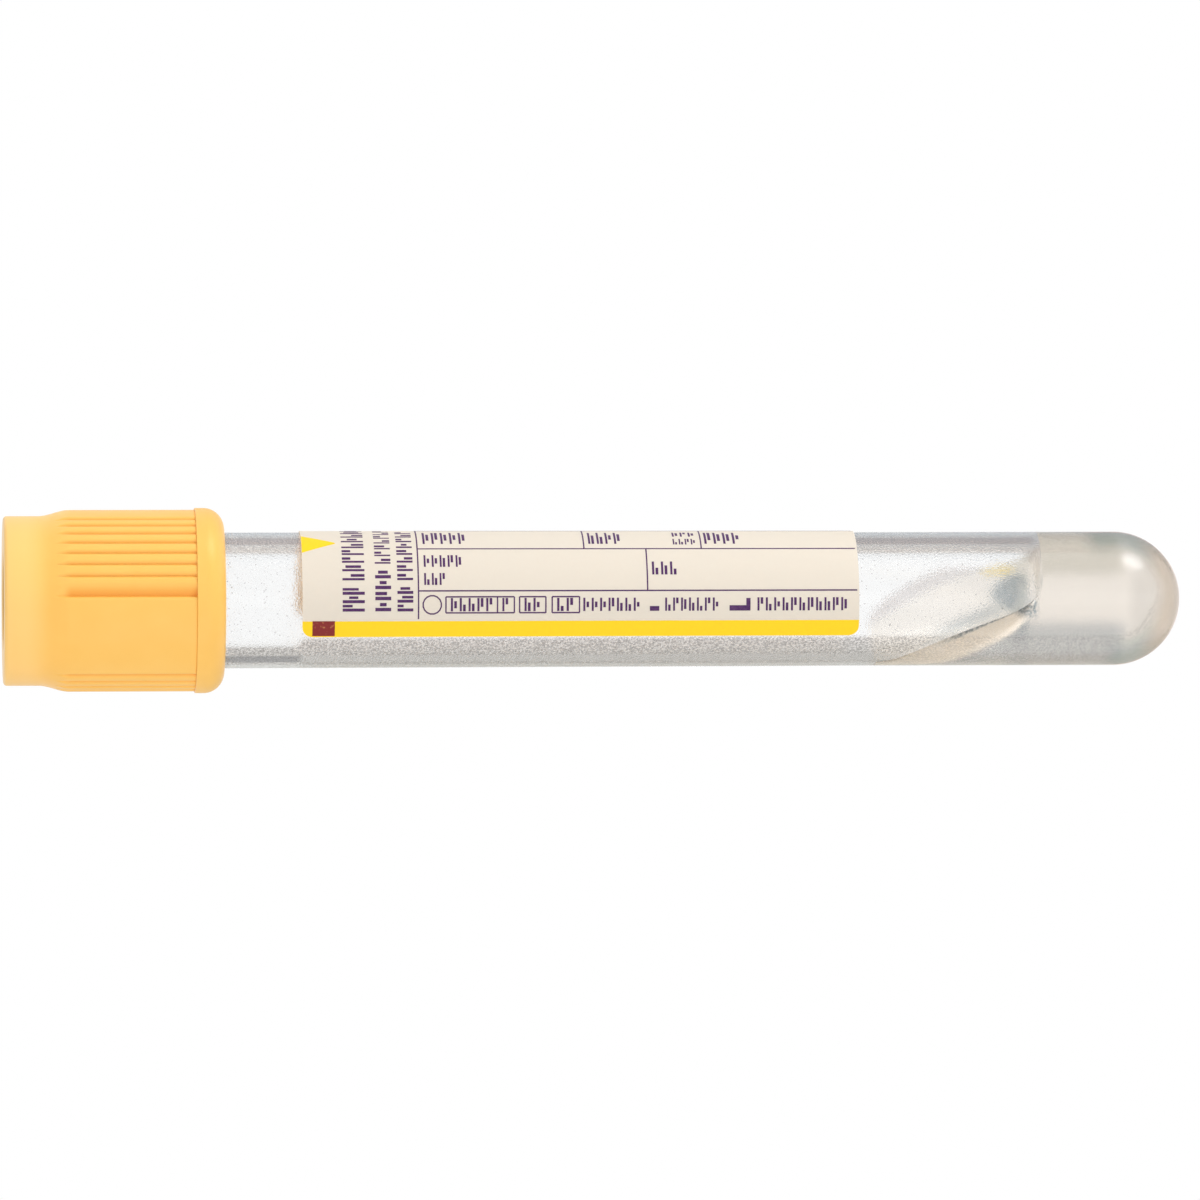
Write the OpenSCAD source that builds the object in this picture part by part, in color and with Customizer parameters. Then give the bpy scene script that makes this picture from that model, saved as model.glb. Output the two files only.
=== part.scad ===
// Evacuated blood collection tube: a round-ended tube with a serum gel in its end, a wrapped label,
// and a two-piece closure, which is a ribbed shield clipped over a rubber stopper.
// The tube stands on its closure: the origin is the centre of the shield's flat end, and +Z runs
// along the axis to the round end. Facing angles are counted about the axis, from 0 at -Y (the
// label's front) round towards -X.

/* [Tube] */
// Outside diameter of the tube at its rim
tube_d = 13; // [10.8:0.1:16]
// How much narrower the tube is, in diameter, at its round end
tube_draft = 0.2; // [0.1:0.05:0.4]
// Length of the tube, from its rim to the tip of its round end
tube_l = 100; // [80:1:125]
// Thickness of the tube's wall
tube_wall = 1; // [0.8:0.05:1.2]
// Rounding of the rim's two edges
rim_round = 0.22; // [0.1:0.02:0.3]
// Length of the true cylinder inside the mouth, which the plug seals
mouth_l = 10; // [8:0.5:14]
// Length of the true cylinder outside, before the round end
barrel_l = 24.8; // [15:0.1:26]

/* [Shield outside] */
// Length of the shield, from its flat end to its open end
shield_l = 21; // [19:0.1:28]
// Thickness of the skirt's wall, out to the rib tops
skirt_wall = 1.55; // [1.4:0.025:2]
// Length of the narrow band at the flat end
band_l = 3.3; // [2:0.1:4.5]
// How far the band lies in from the rib tops
band_step = 0.575; // [0.3:0.025:0.9]
// Length of the curved ramp between the band and the ribs
ramp_l = 3; // [2:0.1:4]
// Rounding of the flat end's outer edge
end_round = 0.35; // [0.1:0.05:0.8]
// Length of the flange at the open end
flange_l = 2.8; // [2.1:0.1:4]
// How far the flange stands out from the rib tops
flange_step = 0.175; // [0.1:0.025:0.6]
// Rounding of the flange's outer edge at the open end
flange_round = 2; // [0.5:0.05:2]
// Rounding of the flange's other edge, over the ribs
flange_edge = 0.1; // [0.04:0.01:0.1]
// Width of the fine groove where the skirt meets the flange
parting_w = 0.12; // [0.1:0.02:0.4]

/* [Grip ribs] */
// Number of rib groups, with a smooth panel between each two
rib_groups = 3; // [2:1:4]
// Number of full ribs in a group
ribs = 7; // [3:1:8]
// Angle from one rib to the next, in degrees
rib_pitch = 8.05; // [7:0.05:9]
// Depth of the valleys between the ribs
valley_depth = 0.375; // [0.2:0.025:0.45]
// How much of each rib's round top is trimmed flush with the smooth panels
rib_trim = 0.04; // [0.02:0.01:0.08]
// Facing angle of the step from the first group down to the smooth panel
panel_edge = 1.8; // [-10:0.1:10]

/* [Shield inside] */
// Diameter of the needle opening in the flat end
opening_d = 9.2; // [7:0.1:9.6]
// Depth of the needle opening, down to the stopper
opening_l = 3.7; // [2.5:0.1:5]
// Thickness of the flat end's wall
end_wall = 1.3; // [0.8:0.1:1.8]
// Thickness of the collar round the needle opening
collar_wall = 1.1; // [0.8:0.05:1.2]
// Thickness of the wall round the stopper's head
head_wall = 1.25; // [1:0.05:1.5]
// How far the clip ring stands in from the skirt's bore
ring_step = 1.7; // [1.2:0.1:2]
// Length of the clip ring along the axis
ring_l = 1.2; // [0.8:0.1:2]
// Gap between the tube and the skirt
skirt_gap = 0.6; // [0.3:0.05:0.9]
// Chamfer that leads the tube into the skirt
lead_in = 0.25; // [0.1:0.05:0.4]

/* [Stopper] */
// Length of the head that the clip ring holds
head_l = 2.7; // [2:0.1:4]
// How far the head overhangs the clip ring
head_hold = 1.1; // [0.6:0.1:1.2]
// Length of the flange between the clip ring and the tube's rim
seat_l = 5.1; // [3:0.1:6]
// Length of the plug inside the tube
plug_l = 6.5; // [5:0.5:7.5]
// Chamfer of the plug's end
plug_chamfer = 0.5; // [0.2:0.1:0.9]
// Diameter of the needle well at the head's middle
well_d = 5.6; // [4:0.2:6.4]
// Depth of the needle well
well_l = 2.4; // [1:0.1:3]
// Diameter of the hollow in the plug
hollow_d = 6.2; // [4:0.2:6.8]
// Thickness of rubber that a needle goes through
septum_l = 3.6; // [2.5:0.1:5]
// Rounding of the stopper's outer edges
rubber_round = 0.3; // [0.1:0.05:0.5]

/* [Gel] */
// Distance from the round end to the gel's floor, on its open side
gel_floor = 13.8; // [10:0.2:18]
// Distance from the round end to the tip of the gel's tongue
gel_tip = 29.4; // [26:0.2:36]
// Thickness of the tongue at its tip
tongue_t = 0.05; // [0.03:0.01:0.15]
// How much wider than the bore the scooped hollow is, in radius
scoop_over = 0.6; // [0.3:0.05:1]
// Radius of the bend that the scooped hollow follows
scoop_bend = 25; // [18:1:32]
// Facing angle that the scooped hollow turns to, in degrees
scoop_angle = 63.5; // [0:0.5:180]

/* [Label] */
// Distance from the tube's rim to the label
label_from = 15.5; // [12:0.1:20]
// Length of the label along the tube
label_l = 53; // [40:0.5:54]
// Width of the label, measured round the tube
label_w = 25.4; // [18:0.1:32]
// Thickness of the label
label_t = 0.1; // [0.06:0.02:0.2]
// Facing angle of the label's free edge, in degrees
label_edge = -32; // [-60:1:0]
// Rounding of the label's corners
label_round = 1; // [0.3:0.1:1.5]

/* [Fits] */
// Running clearance of the plug in the tube's mouth, in radius
plug_clear = 0.03; // [0.01:0.01:0.1]
// Clearance of the stopper in the shield
stopper_clear = 0.05; // [0.02:0.01:0.15]
// Clearance between the gel and the tube's bore
gel_clear = 0.03; // [0.02:0.01:0.1]
// Thickness of the glue under the label
glue_t = 0.02; // [0.01:0.01:0.05]

/* [Hidden] */
$fn = 128;
past = 1; // how far a cutting shape runs past the surface that it cuts

// Radii of the tube
tube_r = tube_d / 2;
tube_end_r = (tube_d - tube_draft) / 2;
bore_r = tube_r - tube_wall;
bore_end_r = tube_end_r - tube_wall;

// Radii of the shield, which is sized from the tube inside it
skirt_r = tube_r + skirt_gap;
rib_r = skirt_r + skirt_wall;
band_r = rib_r - band_step;
flange_r = rib_r + flange_step;
opening_r = opening_d / 2;
collar_r = opening_r + collar_wall;
head_room_r = band_r - head_wall;
ring_r = skirt_r - ring_step;

// Heights, from the flat end up the axis
ramp_z = band_l + ramp_l;
flange_z = shield_l - flange_l;
ring_z = opening_l + head_l;
ring_end_z = ring_z + ring_l;
rim_z = ring_end_z + seat_l;
plug_end_z = rim_z + plug_l;
mouth_end_z = rim_z + mouth_l;
tip_z = rim_z + tube_l;
dome_z = tip_z - tube_end_r;
taper_end_z = dome_z - barrel_l;

// Rounds each rib's top so that two neighbours meet at the valley's depth
half_pitch = rib_r * sin(rib_pitch / 2);
rib_round = (half_pitch * half_pitch + valley_depth * valley_depth) / (2 * valley_depth);
rib_centre_r = rib_r + rib_trim - rib_round;
first_rib = 1.5 * rib_pitch;
group_turn = 360 / rib_groups;

// The direction, about Z from +X, of a facing angle
function direction(facing) = -90 - facing;

// A point at a radius and a facing angle
function at_facing(r, facing) = [r * cos(direction(facing)), r * sin(direction(facing))];

// A rectangle in a half-section, from radius r0 to r1 and height z0 to z1
module band(r0, r1, z0, z1) {
    translate([r0, z0])
        square([r1 - r0, z1 - z0]);
}

// What rounding takes off a corner at the origin whose material lies up and to the right. The arc
// is set a hair outside the tangent, so that it crosses both edges cleanly.
module off_corner(r) {
    centre = 0.985 * r;
    difference() {
        translate([-past, -past])
            square(past + centre);
        translate([centre, centre])
            circle(r);
    }
}

// Half-section of a ramp that eases out from one radius to another, in narrow bevels
module ramp_section(r0, r1, z0, z1) {
    bevels = 12;
    polygon(concat(
        [[0, z0]],
        [for (i = [0:bevels]) [r0 + (r1 - r0) * (1 - cos(180 * i / bevels)) / 2,
                               z0 + (z1 - z0) * i / bevels]],
        [[0, z1]]
    ));
}

// Outside of the shield, as a half-section
module shield_section() {
    difference() {
        union() {
            band(0, band_r, 0, band_l);
            ramp_section(band_r, rib_r, band_l, ramp_z);
            band(0, rib_r, ramp_z, flange_z);
            band(0, flange_r, flange_z, shield_l);
        }
        translate([band_r, 0])
            mirror([1, 0])
                off_corner(end_round);
        translate([flange_r, shield_l])
            mirror([1, 0])
                mirror([0, 1])
                    off_corner(flange_round);
        translate([flange_r, flange_z])
            mirror([1, 0])
                off_corner(flange_edge);
        translate([rib_r, flange_z])
            rotate(45)
                square(parting_w / sqrt(2), center = true);
    }
}

// Hollow of the shield, as a half-section: needle opening, room for the stopper, clip ring, skirt
module shield_hollow_section() {
    band(0, opening_r, -past, opening_l);
    band(collar_r, head_room_r, end_wall, opening_l);
    band(0, head_room_r, opening_l, ring_z);
    band(0, ring_r, ring_z, ring_end_z);
    band(0, skirt_r, ring_end_z, shield_l + past);
    polygon([
        [skirt_r - past, shield_l - lead_in - past],
        [skirt_r + lead_in + past, shield_l + past],
        [skirt_r - past, shield_l + past]
    ]);
}

// What is taken off the skirt between the ribs of one group, seen along the axis
module rib_valleys() {
    last_rib = first_rib + ribs * rib_pitch;
    valley_step = 3;
    valley_r = rib_r - valley_depth;
    // the valleys between the round ribs
    difference() {
        polygon(concat(
            [for (i = [0:ribs]) at_facing(rib_centre_r, first_rib + i * rib_pitch)],
            [for (i = [ribs:-1:0]) at_facing(rib_r + past, first_rib + i * rib_pitch)]
        ));
        for (i = [0:ribs])
            rotate(direction(first_rib + i * rib_pitch))
                translate([rib_centre_r, 0])
                    circle(rib_round);
    }
    // the slope that falls from the first rib to the foot of the smooth panel
    polygon([
        at_facing(rib_r + past, first_rib),
        at_facing(rib_r + rib_trim, first_rib),
        at_facing(rib_r - valley_depth * 0.45, rib_pitch),
        at_facing(valley_r, valley_step),
        at_facing(rib_r + rib_trim, panel_edge),
        at_facing(rib_r + past, panel_edge)
    ]);
}

// Shield: needle opening, narrow band, ribbed grip with smooth panels, flange, clip ring inside
module shield() {
    color("goldenrod")
        difference() {
            rotate_extrude()
                difference() {
                    shield_section();
                    shield_hollow_section();
                }
            for (i = [0:rib_groups - 1])
                rotate(-i * group_turn)
                    translate([0, 0, band_l])
                        linear_extrude(flange_z - band_l)
                            rib_valleys();
        }
}

// Rubber stopper: head over the clip ring, seat on the tube's rim, hollow plug in its mouth
module stopper() {
    head_r = ring_r + head_hold;
    seat_r = skirt_r - stopper_clear;
    plug_r = bore_r - plug_clear;
    well_end_z = opening_l + well_l;
    hollow_z = well_end_z + septum_l;
    color("darkgoldenrod")
        rotate_extrude()
            difference() {
                union() {
                    band(0, head_r, opening_l, ring_z - stopper_clear);
                    band(0, ring_r - stopper_clear, ring_z - stopper_clear, ring_end_z);
                    band(0, seat_r, ring_end_z, rim_z);
                    band(0, plug_r, rim_z, plug_end_z);
                }
                translate([head_r, opening_l])
                    mirror([1, 0])
                        off_corner(rubber_round);
                polygon([
                    [plug_r - plug_chamfer, plug_end_z],
                    [plug_r, plug_end_z - 2 * plug_chamfer],
                    [plug_r + past, plug_end_z - 2 * plug_chamfer],
                    [plug_r + past, plug_end_z + past],
                    [plug_r - plug_chamfer, plug_end_z + past]
                ]);
                polygon([
                    [0, opening_l - past],
                    [well_d / 2, opening_l - past],
                    [well_d / 2, opening_l],
                    [well_d / 2 * 0.7, well_end_z],
                    [0, well_end_z]
                ]);
                band(0, hollow_d / 2, hollow_z, plug_end_z + past);
            }
}

// Outside of the tube, as a half-section
module tube_section() {
    polygon([
        [0, rim_z],
        [tube_r, rim_z],
        [tube_end_r, taper_end_z],
        [tube_end_r, dome_z],
        [0, dome_z]
    ]);
    intersection() {
        translate([0, dome_z])
            circle(tube_end_r);
        band(0, tube_end_r + past, dome_z, tip_z + past);
    }
}

// Bore of the tube less a clearance, as a half-section from height z0 up to the round end
module bore_section(clear, z0) {
    mouth_r = bore_r - clear;
    end_r = bore_end_r - clear;
    intersection() {
        union() {
            band(0, mouth_r, rim_z - past, mouth_end_z);
            polygon([
                [0, mouth_end_z],
                [mouth_r, mouth_end_z],
                [end_r, dome_z],
                [0, dome_z]
            ]);
            intersection() {
                translate([0, dome_z])
                    circle(end_r);
                band(0, end_r + past, dome_z, tip_z);
            }
        }
        band(0, tube_r, z0, tip_z);
    }
}

// Clear round-ended tube, open at the rim
module tube() {
    color("lightblue")
        rotate_extrude()
            difference() {
                tube_section();
                bore_section(0, rim_z - past);
                translate([tube_r, rim_z])
                    mirror([1, 0])
                        off_corner(rim_round);
                translate([bore_r, rim_z])
                    off_corner(rim_round);
            }
}

// Hollow scooped out of the gel: a bent finger that ends square at the gel's floor
module scoop() {
    finger_r = bore_end_r + scoop_over;
    lead = 0.4; // how far before the tongue's tip the bend begins
    drift = scoop_bend - sqrt(scoop_bend * scoop_bend - lead * lead);
    start = finger_r - (bore_end_r - gel_clear) + tongue_t - drift;
    bend_z = tip_z - gel_tip - lead;
    bend_turn = 50;
    intersection() {
        rotate(direction(scoop_angle))
            translate([start + scoop_bend, 0, bend_z])
                rotate([90, 0, 0])
                    rotate_extrude(angle = bend_turn, start = 180 - bend_turn)
                        translate([scoop_bend, 0])
                            circle(finger_r);
        translate([-tube_d, -tube_d, 0])
            cube([2 * tube_d, 2 * tube_d, tip_z - gel_floor]);
    }
}

// Serum gel: fills the round end, and runs up one side of the tube in a thinning tongue
module gel() {
    color("wheat")
        difference() {
            rotate_extrude()
                bore_section(gel_clear, tip_z - gel_tip);
            scoop();
        }
}

// What rounding takes off one corner of the label, at the origin, as a plug along +X
module label_corner() {
    rotate([90, 0, 90])
        linear_extrude(tube_d)
            off_corner(label_round);
}

// Label wrapped part of the way round the tube, on its glue
module label() {
    from_z = rim_z + label_from;
    to_z = from_z + label_l;
    turn = label_w / tube_end_r * 180 / PI;
    first = direction(label_edge + turn);
    color("ivory")
        difference() {
            rotate_extrude(angle = turn, start = first)
                intersection() {
                    difference() {
                        translate([glue_t + label_t, 0])
                            tube_section();
                        translate([glue_t, 0])
                            tube_section();
                    }
                    band(bore_end_r, tube_d, from_z, to_z);
                }
            for (end = [0, 1])
                translate([0, 0, end == 0 ? from_z : to_z])
                    mirror([0, 0, end]) {
                        rotate(first)
                            label_corner();
                        rotate(first + turn)
                            mirror([0, 1, 0])
                                label_corner();
                    }
        }
}

shield();
stopper();
tube();
gel();
label();
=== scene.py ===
"""Looks of an evacuated blood collection tube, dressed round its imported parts.

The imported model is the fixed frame: it gives the bodies, the joint and the size of every piece.
Finer meshes stand for the moulded shield, the clear tube, the serum gel and the label, in the same
places and at the same sizes. The label's print and the clot activator on the bore are added.

Lengths in the classes are millimetres and angles are degrees, and meshes are written in metres.
Facing angles are counted about the axis, from 0 at -Y (the label's front) round towards -X.
"""

from __future__ import annotations

import logging
import math
import random
from abc import ABC, abstractmethod
from dataclasses import dataclass, field
from enum import Enum
from typing import Iterable, Optional, Sequence, Union

import bmesh
import bpy
import numpy as np
from mathutils import Matrix, Vector


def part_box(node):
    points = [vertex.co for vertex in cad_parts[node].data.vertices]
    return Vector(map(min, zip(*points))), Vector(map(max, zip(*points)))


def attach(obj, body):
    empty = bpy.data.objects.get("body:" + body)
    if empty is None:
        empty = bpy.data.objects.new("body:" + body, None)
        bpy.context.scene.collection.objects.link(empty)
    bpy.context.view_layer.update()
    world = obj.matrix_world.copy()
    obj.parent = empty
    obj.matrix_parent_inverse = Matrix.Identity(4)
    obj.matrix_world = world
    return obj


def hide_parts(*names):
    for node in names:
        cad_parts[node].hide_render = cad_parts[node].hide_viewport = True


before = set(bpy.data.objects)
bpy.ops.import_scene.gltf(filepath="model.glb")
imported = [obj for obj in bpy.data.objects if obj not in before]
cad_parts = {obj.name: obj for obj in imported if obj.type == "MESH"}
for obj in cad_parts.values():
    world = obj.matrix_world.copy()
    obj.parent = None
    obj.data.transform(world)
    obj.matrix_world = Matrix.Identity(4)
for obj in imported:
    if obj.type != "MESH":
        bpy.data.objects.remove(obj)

log = logging.getLogger("blood_collection_tube")

MM = 0.001

Colour = tuple[float, float, float]
Point = tuple[float, float]


class Body(Enum):
    """The bodies that the pieces ride on."""

    CLOSURE = "closure"
    BARREL = "barrel"


class Slot(Enum):
    """The record's material slots."""

    SHIELD = "shield"
    TUBE = "tube"
    GEL = "gel"
    LABEL = "label"


class Joining(Enum):
    """How the rows of a grid of points close up."""

    OPEN = "open"
    RING = "ring"


class Reading(Enum):
    """Which way a printed word runs."""

    ALONG = "along"
    ROUND = "round"


# ---------------------------------------------------------------- node trees


@dataclass(frozen=True)
class Field:
    """One number in a node tree, which takes part in arithmetic as a plain number does."""

    graph: "NodeGraph"
    socket: bpy.types.NodeSocket

    def __add__(self, other: Number) -> Field:
        """The sum of two numbers."""
        return self.graph.math("ADD", self, other)

    def __radd__(self, other: Number) -> Field:
        """The sum of two numbers."""
        return self.graph.math("ADD", other, self)

    def __sub__(self, other: Number) -> Field:
        """The difference of two numbers."""
        return self.graph.math("SUBTRACT", self, other)

    def __rsub__(self, other: Number) -> Field:
        """The difference of two numbers."""
        return self.graph.math("SUBTRACT", other, self)

    def __mul__(self, other: Number) -> Field:
        """The product of two numbers."""
        return self.graph.math("MULTIPLY", self, other)

    def __rmul__(self, other: Number) -> Field:
        """The product of two numbers."""
        return self.graph.math("MULTIPLY", other, self)

    def __truediv__(self, other: Number) -> Field:
        """The quotient of two numbers."""
        return self.graph.math("DIVIDE", self, other)


Number = Union[Field, float]


@dataclass(frozen=True)
class NodeGraph:
    """A node tree of any kind, with short ways to add nodes and to do arithmetic in it."""

    tree: bpy.types.NodeTree

    def node(self, kind: str, inputs: Optional[dict] = None, **settings: object) -> bpy.types.Node:
        """Adds a node.

        Args:
            kind: The node's type name.
            inputs: What goes into its sockets, by the socket's name or number.
            **settings: The node's own properties.

        Returns:
            The new node.
        """
        made = self.tree.nodes.new(kind)
        for name, value in settings.items():
            setattr(made, name, value)
        for key, value in (inputs or {}).items():
            self.feed(made.inputs[key], value)
        return made

    def feed(self, socket: bpy.types.NodeSocket, value: object) -> None:
        """Links a value's socket, or sets a plain value.

        Args:
            socket: The input to fill.
            value: A Field, a node (its first output is taken), a socket or a plain value.
        """
        if isinstance(value, Field):
            value = value.socket
        if isinstance(value, bpy.types.Node):
            value = value.outputs[0]
        if isinstance(value, bpy.types.NodeSocket):
            self.tree.links.new(value, socket)
        else:
            socket.default_value = value

    def field(self, source: object, output: Union[int, str] = 0) -> Field:
        """A node's output, ready for arithmetic.

        Args:
            source: The node, or its socket.
            output: The output's name or number, where source is a node.

        Returns:
            The number as a Field.
        """
        socket = source.outputs[output] if isinstance(source, bpy.types.Node) else source
        return Field(self, socket)

    def math(self, operation: str, *values: Number) -> Field:
        """One step of arithmetic.

        Args:
            operation: The Math node's operation.
            *values: Its operands.

        Returns:
            The result.
        """
        node = self.node("ShaderNodeMath", dict(enumerate(values)), operation=operation)
        return self.field(node)

    def smoothstep(self, value: Number, low: float, high: float) -> Field:
        """Rises softly from 0 to 1.

        Args:
            value: The number that is tested.
            low: Where the rise begins.
            high: Where it ends.

        Returns:
            The share, from 0 to 1.
        """
        node = self.node(
            "ShaderNodeMapRange",
            {"Value": value, "From Min": low, "From Max": high},
            interpolation_type="SMOOTHSTEP",
        )
        return self.field(node)

    def mix_colour(self, share: Number, first: object, second: object) -> bpy.types.NodeSocket:
        """Blends two colours.

        Args:
            share: How much of the second colour there is.
            first: A colour or a socket.
            second: A colour or a socket.

        Returns:
            The blended colour's socket.
        """
        node = self.node("ShaderNodeMix", {"Factor": share}, data_type="RGBA")
        self.feed(node.inputs[6], opaque(first))
        self.feed(node.inputs[7], opaque(second))
        return node.outputs[2]


def opaque(colour: object) -> object:
    """Adds full alpha to a plain colour, and leaves a socket as it is."""
    return (*colour, 1.0) if isinstance(colour, tuple) else colour


# ---------------------------------------------------------------- finishes


class Finish(ABC):
    """A surface finish that makes its own material once."""

    name: str

    def material(self) -> bpy.types.Material:
        """The finish's material, made on its first use."""
        found = bpy.data.materials.get(self.name)
        if found is not None:
            return found
        made = bpy.data.materials.new(self.name)
        made.use_nodes = True
        made.node_tree.nodes.clear()
        graph = NodeGraph(made.node_tree)
        output = graph.node("ShaderNodeOutputMaterial")
        self.dress(graph, output)
        return made

    @abstractmethod
    def dress(self, graph: NodeGraph, output: bpy.types.Node) -> None:
        """Builds the shader.

        Args:
            graph: The material's node tree.
            output: Its output node.
        """

    def grain(self, graph: NodeGraph, size: float, detail: float = 2.0) -> Field:
        """Soft noise that lies still on the piece.

        Args:
            graph: The material's node tree.
            size: The grain's size in millimetres.
            detail: How many finer layers it holds.

        Returns:
            The noise, from 0 to 1.
        """
        place = graph.node("ShaderNodeTexCoord").outputs["Object"]
        node = graph.node(
            "ShaderNodeTexNoise", {"Vector": place, "Scale": 1 / (size * MM), "Detail": detail}
        )
        return graph.field(node)

    def place(self, graph: NodeGraph) -> list[Field]:
        """Where a point lies on the piece.

        Args:
            graph: The material's node tree.

        Returns:
            X, Y and Z in millimetres.
        """
        place = graph.node("ShaderNodeTexCoord").outputs["Object"]
        parts = graph.node("ShaderNodeSeparateXYZ", {0: place})
        return [graph.field(parts, axis) * (1 / MM) for axis in "XYZ"]

    def bump(self, graph: NodeGraph, height: Field, depth: float) -> bpy.types.NodeSocket:
        """Surface relief.

        Args:
            graph: The material's node tree.
            height: The relief, from 0 to 1.
            depth: How deep it is in millimetres.

        Returns:
            The normal's socket.
        """
        node = graph.node("ShaderNodeBump", {"Height": height, "Distance": depth * MM})
        return node.outputs["Normal"]


@dataclass(frozen=True)
class MouldedPlastic(Finish):
    """Dense coloured satin plastic, with painted shade in its grooves and painted light on its
    band.
    """

    name: str = "shield_plastic"
    colour: Colour = (0.93, 0.545, 0.125)
    deep: Colour = (0.91, 0.51, 0.1)
    # Painted light: the paler colour that makes the band by the flat end look more brightly lit.
    pale: Colour = (0.96, 0.6, 0.185)
    # Painted shade: the deep orange that darkens the groove bottoms.
    groove_shade: Colour = (0.82, 0.3, 0.018)
    band_l: float = 3.3
    grip_from: float = 5.4
    grip_to: float = 18.2
    rib_r: float = 8.65
    valley_depth: float = 0.375
    roughness: float = 0.34
    cloud: float = 2.5
    peel: float = 0.16
    peel_depth: float = 0.002

    def dress(self, graph: NodeGraph, output: bpy.types.Node) -> None:
        """Clouded colour, painted shade and light by zone, uneven gloss and a fine orange peel.

        Args:
            graph: The material's node tree.
            output: Its output node.
        """
        clouds = self.grain(graph, self.cloud)
        body = graph.mix_colour(clouds, self.colour, self.deep)
        parts = self.place(graph)
        radius = graph.math("SQRT", parts[0] * parts[0] + parts[1] * parts[1])
        height = parts[2]
        # Painted light: the band by the flat end is made paler.
        band_light = 1.0 - graph.smoothstep(height, self.band_l - 1.5, self.band_l + 1.5)
        body = graph.mix_colour(band_light, body, self.pale)
        # Painted shade: the groove bottoms take the darker orange, most of all at their foot under
        # the flange.
        low = 1.0 - graph.smoothstep(radius, self.rib_r - self.valley_depth, self.rib_r)
        grip = graph.smoothstep(height, self.grip_from, self.grip_from + 1.0)
        grip = grip * (1.0 - graph.smoothstep(height, self.grip_to, self.grip_to + 0.1))
        foot = graph.smoothstep(height, self.grip_to - 0.7, self.grip_to - 0.1)
        share = low * grip * (0.8 + foot * 0.2)
        shader = graph.node(
            "ShaderNodeBsdfPrincipled",
            {
                "Base Color": graph.mix_colour(share, body, self.groove_shade),
                "Roughness": self.roughness + (clouds - 0.5) * 0.08,
                "IOR": 1.49,
                "Normal": self.bump(graph, self.grain(graph, self.peel), self.peel_depth),
            },
        )
        graph.feed(output.inputs["Surface"], shader)


@dataclass(frozen=True)
class StopperRubber(Finish):
    """Matt stopper rubber with a powdery bloom."""

    name: str = "stopper_rubber"
    colour: Colour = (0.5, 0.33, 0.15)
    bloom: Colour = (0.58, 0.42, 0.23)
    grain_size: float = 0.25
    depth: float = 0.006

    def dress(self, graph: NodeGraph, output: bpy.types.Node) -> None:
        """Two close tones and a fine matt grain.

        Args:
            graph: The material's node tree.
            output: Its output node.
        """
        fine = self.grain(graph, self.grain_size, 4.0)
        shader = graph.node(
            "ShaderNodeBsdfPrincipled",
            {
                "Base Color": graph.mix_colour(fine, self.colour, self.bloom),
                "Roughness": 0.62 + fine * 0.16,
                "IOR": 1.52,
                "Normal": self.bump(graph, fine, self.depth),
            },
        )
        graph.feed(output.inputs["Surface"], shader)


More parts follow.
